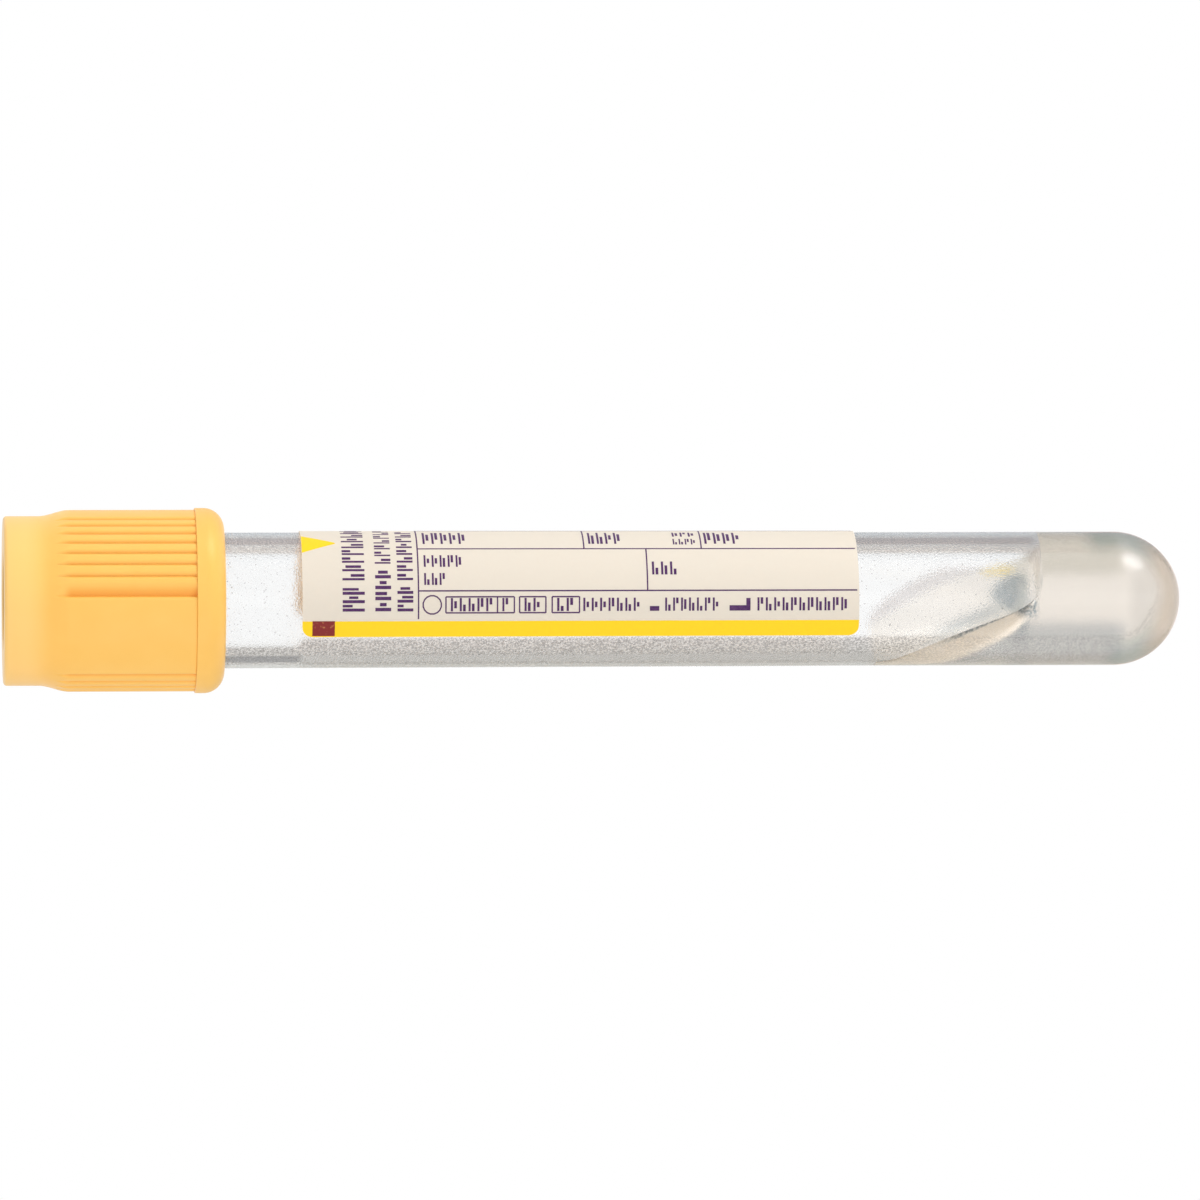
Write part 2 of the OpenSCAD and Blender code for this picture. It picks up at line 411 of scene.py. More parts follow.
@dataclass(frozen=True)
class ClearPlastic(Finish):
    """Clear polyester, greyed by painted shade towards its outline, and clear again at its very
    edge.

    The grey is painted shade for dark surroundings seen in the glass, over the coat's speckle.
    It is painted heavier on the side that the label leaves bare, and widest along the label,
    where it is the label's painted shadow.
    """

    name: str = "clear_polyester"
    tint: Colour = (0.985, 0.988, 0.988)
    # Painted shade: speckled greys for the outline, the first pair on the bare side, the second on
    # the label side.
    coat_shade_pale: Colour = (0.95, 0.91, 0.88)
    coat_shade_dark: Colour = (0.36, 0.34, 0.33)
    thin_coat_shade_pale: Colour = (1.0, 0.94, 0.88)
    thin_coat_shade_dark: Colour = (0.68, 0.6, 0.56)
    # Painted shade: a dark line at one facing angle, on the bare side, along the label and on the
    # label side.
    line_shade: Colour = (0.22, 0.215, 0.23)
    wide_line_shade: Colour = (0.74, 0.72, 0.72)
    thin_line_shade: Colour = (0.5, 0.4, 0.36)
    # Painted shade on the round end: greenish grey on its shoulder, warmer towards the tip, warm
    # and dark at its outline.
    dome_shade: Colour = (0.36, 0.44, 0.44)
    tip_shade: Colour = (0.6, 0.5, 0.4)
    dome_rim_shade: Colour = (0.85, 0.5, 0.4)
    speck: float = 0.2
    # Painted shadow: from the label's lower edge up, the bare side's grey reaches further in, for
    # the label's shadow.
    label_shadow_from: float = 28.2
    wide: float = 0.1
    edge_from: float = 0.25
    edge_to: float = 0.3
    line_from: float = 0.4
    line_to: float = 0.62
    rim_from: float = 0.63
    rim_to: float = 0.74
    rim_share: float = 0.97
    gel_z: float = 98.5
    tongue_z: float = 94.6
    tongue_slope: float = 1.6
    gel_share: float = 0.5
    dome_z: float = 106.3
    roughness: float = 0.015
    relief_size: float = 3.0
    relief: float = 0.0

    def dress(self, graph: NodeGraph, output: bpy.types.Node) -> None:
        """Glass whose tint and painted shade follow the angle it is seen at, with a faint moulded
        relief.

        Args:
            graph: The material's node tree.
            output: Its output node.
        """
        facing = graph.field(graph.node("ShaderNodeLayerWeight"), "Facing")
        x, _y, height = self.place(graph)
        gel_z = graph.math("MINIMUM", self.tongue_z - x * self.tongue_slope, self.gel_z)
        gel = graph.smoothstep(height - gel_z, -0.7, 0.7)
        bare = graph.smoothstep(x, -1.5, 1.5)
        dome = graph.smoothstep(height - bare * 2.0, self.dome_z - 4.0, self.dome_z - 1.5)
        tip = graph.smoothstep(height, self.dome_z + 1.5, self.dome_z + 4.5)
        # Painted shadow of the label along the bare side.
        wide = graph.smoothstep(height, self.label_shadow_from - 0.5, self.label_shadow_from + 0.5) * bare
        # Painted shade: grey past a facing angle, further in along the label, fading at the very
        # edge and weaker over the gel.
        edge = graph.smoothstep(facing + wide * self.wide, self.edge_from, self.edge_to)
        rim = graph.smoothstep(facing, self.rim_from, self.rim_to)
        share = edge * (1.0 - rim * self.rim_share) * (1.0 - gel * self.gel_share)
        # Painted shade: the dark line between two facing angles, left out over the gel.
        line = graph.smoothstep(facing, self.line_from, self.line_from + 0.05)
        line = line * (1.0 - graph.smoothstep(facing, self.line_to - 0.05, self.line_to))
        speck = graph.smoothstep(self.grain(graph, self.speck), 0.38, 0.6)
        coat = graph.mix_colour(speck, self.coat_shade_pale, self.coat_shade_dark)
        thin = graph.mix_colour(speck, self.thin_coat_shade_pale, self.thin_coat_shade_dark)
        thick_line = graph.mix_colour(wide, self.line_shade, self.wide_line_shade)
        coat = graph.mix_colour(line * (1.0 - gel), coat, thick_line)
        thin = graph.mix_colour(line * (1.0 - gel), thin, self.thin_line_shade)
        # The clear tint is mixed towards the painted shade greys.
        tint = graph.mix_colour(share, self.tint, graph.mix_colour(bare, thin, coat))
        # Painted shade on the round end's shoulder and at its outline.
        shoulder = dome * graph.smoothstep(facing + bare * 0.06, 0.15, 0.5)
        dome_shade = graph.mix_colour(tip, self.dome_shade, self.tip_shade)
        tint = graph.mix_colour(shoulder, tint, dome_shade)
        tint = graph.mix_colour(dome * graph.smoothstep(facing, 0.78, 0.9), tint, self.dome_rim_shade)
        shader = graph.node(
            "ShaderNodeBsdfPrincipled",
            {
                "Base Color": tint,
                "Roughness": self.roughness,
                "IOR": 1.57,
                "Transmission Weight": 1.0,
            },
        )
        if self.relief:
            height = self.grain(graph, self.relief_size)
            graph.feed(shader.inputs["Normal"], self.bump(graph, height, self.relief))
        graph.feed(output.inputs["Surface"], shader)


@dataclass(frozen=True)
class SerumGel(Finish):
    """Clear thixotropic gel with a warm haze."""

    name: str = "serum_gel"
    haze: Colour = (0.98, 0.94, 0.89)
    streak: Colour = (0.98, 0.94, 0.89)
    # Painted shade: a dark speckled patch in the hollow and a dark band along the lip.
    hollow: Colour = (0.22, 0.29, 0.34)
    hollow_shade_x: Point = (-0.4, 2.4)
    hollow_shade_z: Point = (98.2, 3.4)
    # Painted highlight: an amber glint on the gel, standing in for light focused through it.
    warm: Colour = (1.0, 0.84, 0.45)
    amber_glint_x: Point = (-2.9, 0.55)
    amber_glint_z: Point = (95.6, 2.0)
    edge_z: float = 98.4
    lip_line: Point = (0.5, 98.35)
    lip_slope: float = 0.413
    lip_ends: Point = (88.0, 92.0)
    lip_fade: Point = (95.0, 97.0)
    lip_near: Point = (0.0, 0.25)
    lip_far: Point = (0.6, 1.3)
    lip_shade_share: float = 0.8
    grit_size: float = 0.25
    clear: float = 0.94
    tint: Colour = (0.8, 0.66, 0.5)
    density: float = 24.0
    roughness: float = 0.03

    def dress(self, graph: NodeGraph, output: bpy.types.Node) -> None:
        """Glassy, slightly milky surface, with speckled painted shade in its hollow and along its
        lip, and a painted amber highlight, over a tinted inside.

        Args:
            graph: The material's node tree.
            output: Its output node.
        """
        x, _y, height = self.place(graph)
        # Painted shade: the hollow's patch, cut off at the gel's edge, and the band along the lip.
        hollow = self.spot(graph, (x, height), (self.hollow_shade_x, self.hollow_shade_z))
        hollow = hollow * (1.0 - graph.smoothstep(height, self.edge_z - 0.3, self.edge_z + 0.3))
        lip = self.lip_line[0] - (height - self.lip_line[1]) * self.lip_slope - x
        band = graph.smoothstep(lip, *self.lip_near) * (1.0 - graph.smoothstep(lip, *self.lip_far))
        band = band * graph.smoothstep(height, *self.lip_ends) * self.lip_shade_share
        band = band * (1.0 - graph.smoothstep(height, *self.lip_fade))
        hollow = graph.math("MAXIMUM", hollow, band)
        grit = graph.smoothstep(self.grain(graph, self.grit_size), 0.4, 0.6)
        tone = graph.mix_colour(grit, self.haze, self.streak)
        # Painted highlight: the amber glint.
        warm = self.spot(graph, (x, height), (self.amber_glint_x, self.amber_glint_z))
        tone = graph.mix_colour(warm, tone, self.warm)
        # The painted shade is laid over the tone, speckled by the grit.
        tone = graph.mix_colour(hollow * (0.35 + grit * 0.65), tone, self.hollow)
        shader = graph.node(
            "ShaderNodeBsdfPrincipled",
            {
                "Base Color": tone,
                "Roughness": self.roughness,
                "IOR": 1.42,
                "Transmission Weight": self.clear,
                "Normal": self.bump(graph, self.grain(graph, 1.2), 0.01),
            },
        )
        inside = graph.node(
            "ShaderNodeVolumeAbsorption", {"Color": opaque(self.tint), "Density": self.density}
        )
        graph.feed(output.inputs["Surface"], shader)
        graph.feed(output.inputs["Volume"], inside)

    @staticmethod
    def spot(graph: NodeGraph, place: tuple[Field, Field], sizes: tuple[Point, Point]) -> Field:
        """Soft-edged oval.

        Args:
            graph: Graph that gets the nodes.
            place: Fields of the two ways across the oval.
            sizes: Middle and half length of the oval each way, in millimetres.

        Returns:
            One in the middle, falling to nothing at the edge.
        """
        ways = (
            graph.math("POWER", (way - middle) / half, 2.0)
            for way, (middle, half) in zip(place, sizes)
        )
        return 1.0 - graph.smoothstep(sum(ways), 0.45, 1.1)


@dataclass(frozen=True)
class GelHaze(Finish):
    """Dried film of gel, nearly clear."""

    name: str = "gel_haze"
    colour: Colour = (0.62, 0.58, 0.58)
    cover: float = 0.3

    def dress(self, graph: NodeGraph, output: bpy.types.Node) -> None:
        """An uneven milky veil.

        Args:
            graph: The material's node tree.
            output: Its output node.
        """
        cloud = self.grain(graph, 1.5)
        shader = graph.node(
            "ShaderNodeBsdfPrincipled",
            {
                "Base Color": opaque(self.colour),
                "Roughness": 0.4,
                "Alpha": self.cover * (0.7 + cloud * 0.6),
            },
        )
        graph.feed(output.inputs["Surface"], shader)


@dataclass(frozen=True)
class LabelPaper(Finish):
    """Coated label paper that lets a little light through."""

    name: str = "label_paper"
    colour: Colour = (0.84, 0.785, 0.69)
    fibre: Colour = (0.825, 0.765, 0.67)
    # Painted light: the back is paler than the front, standing in for light that comes through the
    # paper.
    back: Colour = (0.96, 0.8, 0.6)
    glow: float = 0.22

    def dress(self, graph: NodeGraph, output: bpy.types.Node) -> None:
        """Fibre-flecked, partly translucent paper, with a paler, warmer back that is painted light.

        Args:
            graph: The material's node tree.
            output: Its output node.
        """
        fibres = self.grain(graph, 0.35, 5.0)
        x, y, _height = self.place(graph)
        way = graph.node(
            "ShaderNodeSeparateXYZ", {0: graph.node("ShaderNodeNewGeometry").outputs["Normal"]}
        )
        outward = graph.field(way, "X") * x + graph.field(way, "Y") * y
        tone = graph.mix_colour(fibres, self.colour, self.fibre)
        # Painted light: faces turned in towards the tube take the paler back colour.
        tone = graph.mix_colour(graph.math("LESS_THAN", outward, 0.0), tone, self.back)
        face = graph.node(
            "ShaderNodeBsdfPrincipled",
            {
                "Base Color": tone,
                "Roughness": 0.42 + fibres * 0.12,
                "IOR": 1.45,
                "Normal": self.bump(graph, fibres, 0.003),
            },
        )
        through = graph.node("ShaderNodeBsdfTranslucent", {"Color": tone})
        both = graph.node("ShaderNodeMixShader", {0: self.glow, 1: face, 2: through})
        graph.feed(output.inputs["Surface"], both)


@dataclass(frozen=True)
class PrintInk(Finish):
    """Printed ink with a slightly uneven lay."""

    name: str
    colour: Colour
    worn: Colour
    lay: float = 0.3
    worn_from: float = 0.0
    worn_to: float = 1.0

    def dress(self, graph: NodeGraph, output: bpy.types.Node) -> None:
        """Two tones of ink and the paper's gloss.

        Args:
            graph: The material's node tree.
            output: Its output node.
        """
        lay = graph.smoothstep(self.grain(graph, self.lay, 4.0), self.worn_from, self.worn_to)
        shader = graph.node(
            "ShaderNodeBsdfPrincipled",
            {
                "Base Color": graph.mix_colour(lay, self.colour, self.worn),
                "Roughness": 0.4 + lay * 0.1,
                "IOR": 1.3,
            },
        )
        graph.feed(output.inputs["Surface"], shader)


@dataclass(frozen=True)
class ActivatorFlake(Finish):
    """Dried clot activator, whitish and half clear."""

    name: str = "activator_flake"
    dark: Colour = (0.42, 0.43, 0.44)
    pale: Colour = (0.92, 0.92, 0.93)
    cover: float = 0.12
    cover_more: float = 0.35

    def dress(self, graph: NodeGraph, output: bpy.types.Node) -> None:
        """Each grain takes its own tone, and lets some light by.

        Args:
            graph: The material's node tree.
            output: Its output node.
        """
        tone = graph.smoothstep(self.grain(graph, 0.5), 0.3, 0.5)
        cover = graph.smoothstep(self.grain(graph, 0.4), 0.4, 0.7)
        shader = graph.node(
            "ShaderNodeBsdfPrincipled",
            {
                "Base Color": graph.mix_colour(tone, self.dark, self.pale),
                "Roughness": 0.55,
                "Alpha": self.cover + cover * self.cover_more,
            },
        )
        graph.feed(output.inputs["Surface"], shader)


@dataclass(frozen=True)
class StudioFloor(Finish):
    """White sheet under the tube, which keeps its shadow."""

    name: str = "studio_sheet"
    colour: Colour = (0.88, 0.88, 0.88)
    lift: float = 0.1
    contact: float = 1.5

    def dress(self, graph: NodeGraph, output: bpy.types.Node) -> None:
        """A white sheet, lighter to the eye and in glass, clear from below and close to.

        Args:
            graph: The material's node tree.
            output: Its output node.
        """
        sheet = graph.node("ShaderNodeBsdfDiffuse", {"Color": opaque(self.colour)})
        seen = seen_directly(graph)
        glow = graph.node("ShaderNodeEmission", {"Strength": seen * self.lift})
        lit = graph.node("ShaderNodeAddShader", {0: sheet, 1: glow})
        under = graph.field(graph.node("ShaderNodeNewGeometry"), "Backfacing")
        length = graph.field(graph.node("ShaderNodeLightPath"), "Ray Length")
        under = graph.math("MAXIMUM", under, graph.math("LESS_THAN", length, self.contact * MM))
        clear = graph.node("ShaderNodeBsdfTransparent")
        one_sided = graph.node("ShaderNodeMixShader", {0: under, 1: lit, 2: clear})
        graph.feed(output.inputs["Surface"], one_sided)


def seen_directly(graph: NodeGraph) -> Field:
    """Tells the rays that show the studio from those that light the object.

    Args:
        graph: The node tree to work in.

    Returns:
        1 from the camera, from gloss and through glass, and 0 for light on the object.
    """
    path = graph.node("ShaderNodeLightPath")
    rays = [graph.field(path, f"Is {kind} Ray") for kind in ("Camera", "Glossy", "Transmission")]
    return graph.math("MINIMUM", rays[0] + rays[1] + rays[2], 1.0)


# ---------------------------------------------------------------- mesh making


def facing_point(radius: float, facing: float, height: float) -> tuple[float, float, float]:
    """A point in millimetres, from its radius, its facing angle and its height."""
    turn = math.radians(facing)
    return (-radius * math.sin(turn), -radius * math.cos(turn), height)


@dataclass
class MeshMaker:
    """Collects points in millimetres and faces, and makes a finished object of them."""

    points: list[tuple[float, float, float]] = field(default_factory=list)
    faces: list[tuple[int, ...]] = field(default_factory=list)
    kinds: list[int] = field(default_factory=list)

    def add_grid(self, rows: Sequence[Sequence[tuple]], around: Joining, kind: int = 0) -> None:
        """Joins rows of points with quads; a row of one point is a pole.

        Args:
            rows: The points, row by row, each row as long as the next or one point long.
            around: Whether each row closes on itself.
            kind: The faces' material number.
        """
        starts = []
        for row in rows:
            starts.append((len(self.points), len(row)))
            self.points.extend(row)
        for (a, count_a), (b, count_b) in zip(starts, starts[1:]):
            count = max(count_a, count_b)
            spans = count if around is Joining.RING else count - 1
            for i in range(spans):
                j = (i + 1) % count
                corners = [a + i % count_a, a + j % count_a, b + j % count_b, b + i % count_b]
                self.add_face(list(dict.fromkeys(corners)), kind)

    def add_face(self, corners: Sequence[int], kind: int = 0) -> None:
        """Adds one face by its points' numbers."""
        self.faces.append(tuple(corners))
        self.kinds.append(kind)

    def add_lathe(self, outline: Sequence[Point], facings: Sequence[float], kind: int = 0) -> None:
        """Turns an outline about the axis.

        Args:
            outline: Radius and height of each point; a radius of 0 is a pole.
            facings: The facing angles of the turned columns.
            kind: The faces' material number.
        """
        rows = [
            [facing_point(r, a, z) for a in facings] if r > 0 else [(0.0, 0.0, z)]
            for r, z in outline
        ]
        self.add_grid(rows, Joining.RING, kind)

    def add_slab(self, under: Sequence[Sequence[tuple]], over: Sequence[Sequence[tuple]]) -> None:
        """Closes two like grids into a thin slab.

        Args:
            under: The rows of the lower face.
            over: The rows of the upper face, in the same order.
        """
        edge_a = [row[0] for row in under]
        edge_b = [row[-1] for row in under]
        top_a = [row[0] for row in over]
        top_b = [row[-1] for row in over]
        for rows in (under, over, [edge_a, top_a], [edge_b, top_b],
                     [under[0], over[0]], [under[-1], over[-1]]):
            self.add_grid(rows, Joining.OPEN)

    def make(self, name: str, finishes: Sequence[Finish], crease: float = 0.0) -> bpy.types.Object:
        """Makes the object: merged, facing outwards and smooth.

        Args:
            name: The piece's name.
            finishes: Its finishes, by material number.
            crease: The angle past which an edge stays sharp, or 0 where every edge is smooth.

        Returns:
            The new object, at the origin.
        """
        mesh = bpy.data.meshes.new(name)
        scaled = [tuple(c * MM for c in p) for p in self.points]
        mesh.from_pydata(scaled, [], self.faces)
        for finish in finishes:
            mesh.materials.append(finish.material())
        mesh.polygons.foreach_set("material_index", self.kinds)
        shape = bmesh.new()
        shape.from_mesh(mesh)
        bmesh.ops.remove_doubles(shape, verts=shape.verts, dist=1e-8)
        bmesh.ops.recalc_face_normals(shape, faces=shape.faces)
        shape.to_mesh(mesh)
        shape.free()
        mesh.polygons.foreach_set("use_smooth", [True] * len(mesh.polygons))
        if crease:
            mesh.set_sharp_from_angle(angle=math.radians(crease))
        made = bpy.data.objects.new(name, mesh)
        bpy.context.scene.collection.objects.link(made)
        return made


@dataclass(frozen=True)
class Corner:
    """A corner of an outline, with the radius that rounds it."""

    r: float
    z: float
    round: float = 0.0


def outline(corners: Sequence[Corner], closed: bool, steps: int = 5) -> list[Point]:
    """Rounds an outline's corners, with a support point on each side of every arc.

    Args:
        corners: The corners in order.
        closed: Whether the last corner joins the first.
        steps: How many chords an arc has for a right angle.

    Returns:
        The outline's points.
    """
    points: list[Point] = []
    count = len(corners)
    for i, corner in enumerate(corners):
        here = Vector((corner.r, corner.z))
        ends = not closed and i in (0, count - 1)
        if ends or corner.round <= 0:
            points.append((corner.r, corner.z))
            continue
        before = corners[i - 1]
        after = corners[(i + 1) % count]
        back = (Vector((before.r, before.z)) - here).normalized()
        ahead = (Vector((after.r, after.z)) - here).normalized()
        opening = back.angle(ahead)
        reach = corner.round / math.tan(opening / 2)
        centre = here + (back + ahead).normalized() * (corner.round / math.sin(opening / 2))
        support = min(0.25 * corner.round, 0.08)
        first = here + back * reach - centre
        last = here + ahead * reach - centre
        sweep = first.angle_signed(last)
        chords = max(2, round(steps * abs(sweep) / (math.pi / 2)))
        points.append(tuple(here + back * (reach + support)))
        for k in range(chords + 1):
            turned = Matrix.Rotation(-sweep * k / chords, 2) @ first
            points.append(tuple(centre + turned))
        points.append(tuple(here + ahead * (reach + support)))
    return points


def all_round(count: int) -> list[float]:
    """Facing angles evenly spread round the axis."""
    return [360.0 * i / count for i in range(count)]


# ---------------------------------------------------------------- geometry nodes


class GeometryTree:
    """A geometry node tree with named inputs, applied once to an object."""

    def __init__(self, name: str) -> None:
        """Starts an empty tree.

        Args:
            name: The tree's name.
        """
        self.tree = bpy.data.node_groups.new(name, "GeometryNodeTree")
        self.graph = NodeGraph(self.tree)
        self.add_input("Geometry", "NodeSocketGeometry")
        self.tree.interface.new_socket(
            "Geometry", in_out="OUTPUT", socket_type="NodeSocketGeometry"
        )
        self.entry = self.graph.node("NodeGroupInput")
        self.values: dict[str, object] = {}

    def add_input(self, name: str, kind: str) -> None:
        """Adds a named input to the tree."""
        self.tree.interface.new_socket(name, in_out="INPUT", socket_type=kind)

    def size(self, name: str, value: float) -> Field:
        """Adds a named number and sets it.

        Args:
            name: The input's name.
            value: Its value.

        Returns:
            The input as a Field.
        """
        self.add_input(name, "NodeSocketFloat")
        self.values[name] = value
        return self.graph.field(self.entry, name)

    def close(self, geometry: object, finish: Finish, smooth: bool = True) -> None:
        """Ends the tree with real faces in one finish.

        Args:
            geometry: The geometry's socket.
            finish: The finish of all of it.
            smooth: Whether its faces shade smoothly.
        """
        real = self.graph.node("GeometryNodeRealizeInstances", {"Geometry": geometry})
        smooth = self.graph.node(
            "GeometryNodeSetShadeSmooth", {"Geometry": real, "Shade Smooth": smooth}
        )
        dressed = self.graph.node(
            "GeometryNodeSetMaterial", {"Geometry": smooth, "Material": finish.material()}
        )
        self.graph.node("NodeGroupOutput", {"Geometry": dressed})

    def apply(self, target: bpy.types.Object, name: str) -> bpy.types.Object:
        """Runs the tree on an object, and keeps the result as a plain mesh.

        Args:
            target: The object that the tree starts from, which is removed.
            name: The finished piece's name.

        Returns:
            The finished piece.
        """
        modifier = target.modifiers.new(self.tree.name, "NODES")
        modifier.node_group = self.tree
        for item in self.tree.interface.items_tree:
            if item.item_type == "SOCKET" and item.name in self.values:
                modifier[item.identifier] = self.values[item.name]
        evaluated = target.evaluated_get(bpy.context.evaluated_depsgraph_get())
        mesh = bpy.data.meshes.new_from_object(evaluated)
        target.modifiers.remove(modifier)
        bpy.data.objects.remove(target)
        mesh.name = name
        made = bpy.data.objects.new(name, mesh)
        bpy.context.scene.collection.objects.link(made)
        return made


# ---------------------------------------------------------------- sub-assemblies


@dataclass
class Closure:
    """The ribbed shield over its rubber stopper."""

    flange_r: float
    length: float = 21.0
    skirt_r: float = 7.1
    flange_step: float = 0.175
    flange_l: float = 2.8
    flange_round: float = 1.97
    flange_edge: float = 0.06
    band_step: float = 0.575
    band_l: float = 3.3
    ramp_l: float = 3.0
    end_round: float = 0.35
    parting: float = 0.035
    groups: int = 3
    ribs: int = 7
    pitch: float = 8.05
    valley_depth: float = 0.375
    rib_trim: float = 0.04
    panel_edge: float = 1.8
    valley_foot: float = 3.0
    opening_r: float = 4.6
    opening_l: float = 3.7
    end_wall: float = 1.3
    collar_wall: float = 1.1
    head_wall: float = 1.25
    ring_step: float = 1.7
    ring_z: float = 6.4
    ring_l: float = 1.2
    lead_in: float = 0.25
    edge: float = 0.1
    rib_steps: int = 14
    ramp_steps: int = 20
    flange_steps: int = 20
    panel_step: float = 2.0
    finish: Finish = field(default_factory=MouldedPlastic)
    rubber: Finish = field(default_factory=StopperRubber)

    @classmethod
    def from_frame(cls) -> Closure:
        """Takes the closure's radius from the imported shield."""
        return cls(flange_r=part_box("shield")[1].x / MM)

    @property
    def rib_r(self) -> float:
        """Radius over the rib tops."""
        return self.flange_r - self.flange_step

    @property
    def first_rib(self) -> float:
        """Facing angle of a group's first rib."""
        return 1.5 * self.pitch

    @property
    def last_rib(self) -> float:
        """Facing angle of a group's last rib."""
        return self.first_rib + self.ribs * self.pitch

    def facings(self) -> list[float]:
        """Facing angles of the columns: close over the ribs, wide over the panels."""
        group = 360.0 / self.groups
        slope = np.concatenate(
            [
                np.linspace(self.panel_edge, self.valley_foot, 5)[:-1],
                np.linspace(self.valley_foot, self.first_rib, 16)[:-1],
            ]
        )
        grip = np.linspace(self.first_rib, self.last_rib, self.ribs * self.rib_steps + 1)[:-1]
        span = self.panel_edge + group - self.last_rib
        count = round(span / self.panel_step)
        panel = self.last_rib + span * np.arange(count) / count
        turn = np.concatenate([slope, grip, panel])
        return [float(a + k * group) for k in range(self.groups) for a in turn]

    def outer_corners(self) -> list[Corner]:
        """The outside's corners from the flat end to the open end, without the ramp's curve."""
        band_r = self.rib_r - self.band_step
        flange_z = self.length - self.flange_l
        ramp = []
        for k in range(self.ramp_steps + 1):
            share = k / self.ramp_steps
            ease = (1 - math.cos(math.pi * share)) / 2
            ramp.append(Corner(band_r + self.band_step * ease, self.band_l + self.ramp_l * share))
        notch_r = self.rib_r - self.parting
        return [
            Corner(band_r, 0, self.end_round),
            Corner(band_r, self.band_l * 0.6),
            *ramp,
            Corner(self.rib_r, self.band_l + self.ramp_l + 1),
            Corner(self.rib_r, flange_z - self.parting - 1),
            Corner(self.rib_r, flange_z - self.parting - 0.1),
            Corner(self.rib_r, flange_z - self.parting),
            Corner(notch_r, flange_z - 0.01),
            Corner(notch_r + 0.002, flange_z + 0.002),
            Corner(self.rib_r, flange_z + self.parting),
            Corner(self.rib_r + self.parting, flange_z, 0.03),
            Corner(self.flange_r, flange_z, self.flange_edge),
            *self.flange_corners(),
        ]

    def flange_corners(self) -> list[Corner]:
        """The open end's round edge, up to where it meets the chamfer of the skirt's mouth."""
        size = self.flange_round
        middle_r, middle_z = self.flange_r - size, self.length - size
        side = self.skirt_r - middle_r
        rise = size - self.lead_in
        half = (side + rise) / 2
        reach = math.sqrt(half * half - (side * side + rise * rise - size * size) / 2) - half
        turn = math.atan2(rise + reach, side + reach)
        arc = []
        for k in range(self.flange_steps + 1):
            angle = turn * k / self.flange_steps
            round_off = self.flange_edge if k == self.flange_steps else 0.0
            arc.append(Corner(
                middle_r + size * math.cos(angle), middle_z + size * math.sin(angle), round_off
            ))
        return arc

    def inner_corners(self) -> list[Corner]:
        """The hollow's corners from the open end back to the flat end."""
        ring_r = self.skirt_r - self.ring_step
        room_r = self.rib_r - self.band_step - self.head_wall
        collar_r = self.opening_r + self.collar_wall
        ring_end = self.ring_z + self.ring_l
        return [
            Corner(self.skirt_r, self.length - self.lead_in, self.edge),
            Corner(self.skirt_r, ring_end, self.edge),
            Corner(ring_r, ring_end, self.edge),
            Corner(ring_r, self.ring_z, self.edge),
            Corner(room_r, self.ring_z, self.edge),
            Corner(room_r, self.end_wall, self.edge),
            Corner(collar_r, self.end_wall, self.edge),
            Corner(collar_r, self.opening_l, self.edge),
            Corner(self.opening_r, self.opening_l, self.edge),
            Corner(self.opening_r, 0, 2 * self.edge),
        ]

    def plain_shell(self) -> bpy.types.Object:
        """The shield before its ribs, with the grip's rows marked for them."""
        profile = outline([*self.outer_corners(), *self.inner_corners()], closed=True)
        maker = MeshMaker()
        maker.add_lathe([*profile, profile[0]], self.facings())
        shell = maker.make("plain_shield", [self.finish])
        low, high = self.band_l, self.length - self.flange_l - 0.005
        marks = [
            1.0 if low < v.co.z / MM < high and v.co.xy.length / MM > self.skirt_r + 0.5 else 0.0
            for v in shell.data.vertices
        ]
        shell.data.attributes.new("grip", "FLOAT", "POINT").data.foreach_set("value", marks)
        return shell

    def rib_tree(self) -> GeometryTree:
        """Cuts the grip down to round ribs, group by group."""
        tree = GeometryTree("grip_ribs")
        graph = tree.graph
        top = tree.size("Rib radius", self.rib_r * MM)
        depth = tree.size("Valley depth", self.valley_depth * MM)
        trim = tree.size("Rib trim", self.rib_trim * MM)
        pitch = tree.size("Rib pitch", self.pitch)
        ribs = tree.size("Ribs", float(self.ribs))
        group = tree.size("Group turn", 360.0 / self.groups)
        edge = tree.size("Panel edge", self.panel_edge)
        foot = tree.size("Valley foot", self.valley_foot)
        soft = tree.size("Valley softness", 0.05 * MM)

        place = graph.node("GeometryNodeInputPosition")
        parts = graph.node("ShaderNodeSeparateXYZ", {0: place})
        x, y, z = (graph.field(parts, axis) for axis in "XYZ")
        radius = graph.math("SQRT", x * x + y * y)
        turned = graph.math("DEGREES", graph.math("ARCTAN2", x * -1.0, y * -1.0)) + 360.0
        facing = graph.math("MODULO", turned, group)

        # round rib tops: how far a circle reaches at an angle from its own centre line
        half = top * graph.math("SINE", graph.math("RADIANS", pitch / 2.0))
        bow = (half * half + depth * depth) / (depth * 2.0)
        centre = top + trim - bow
        first = pitch * 1.5
        past_first = facing - first
        nearest = graph.math("ROUND", past_first / pitch)
        nearest = graph.math("MINIMUM", graph.math("MAXIMUM", nearest, 0.0), ribs)
        off = graph.math("ABSOLUTE", past_first - nearest * pitch)
        own = self.circle_reach(graph, centre, bow, off)
        next_one = self.circle_reach(graph, centre, bow, pitch - off)
        crest = graph.math("SMOOTH_MAX", own, next_one, soft)

        # the slope from the first rib down to the foot of the smooth panel
        shallow = depth * 0.45
        to_foot = (top + trim) - (facing - edge) * (depth + trim) / (foot - edge)
        from_foot = (top - depth) + (facing - foot) * (depth - shallow) / (pitch - foot)
        to_rib = (top - shallow) + (facing - pitch) * (shallow + trim) / (pitch * 0.5)
        slope = graph.math("SMOOTH_MAX", graph.math("MAXIMUM", to_foot, to_rib), from_foot, soft)

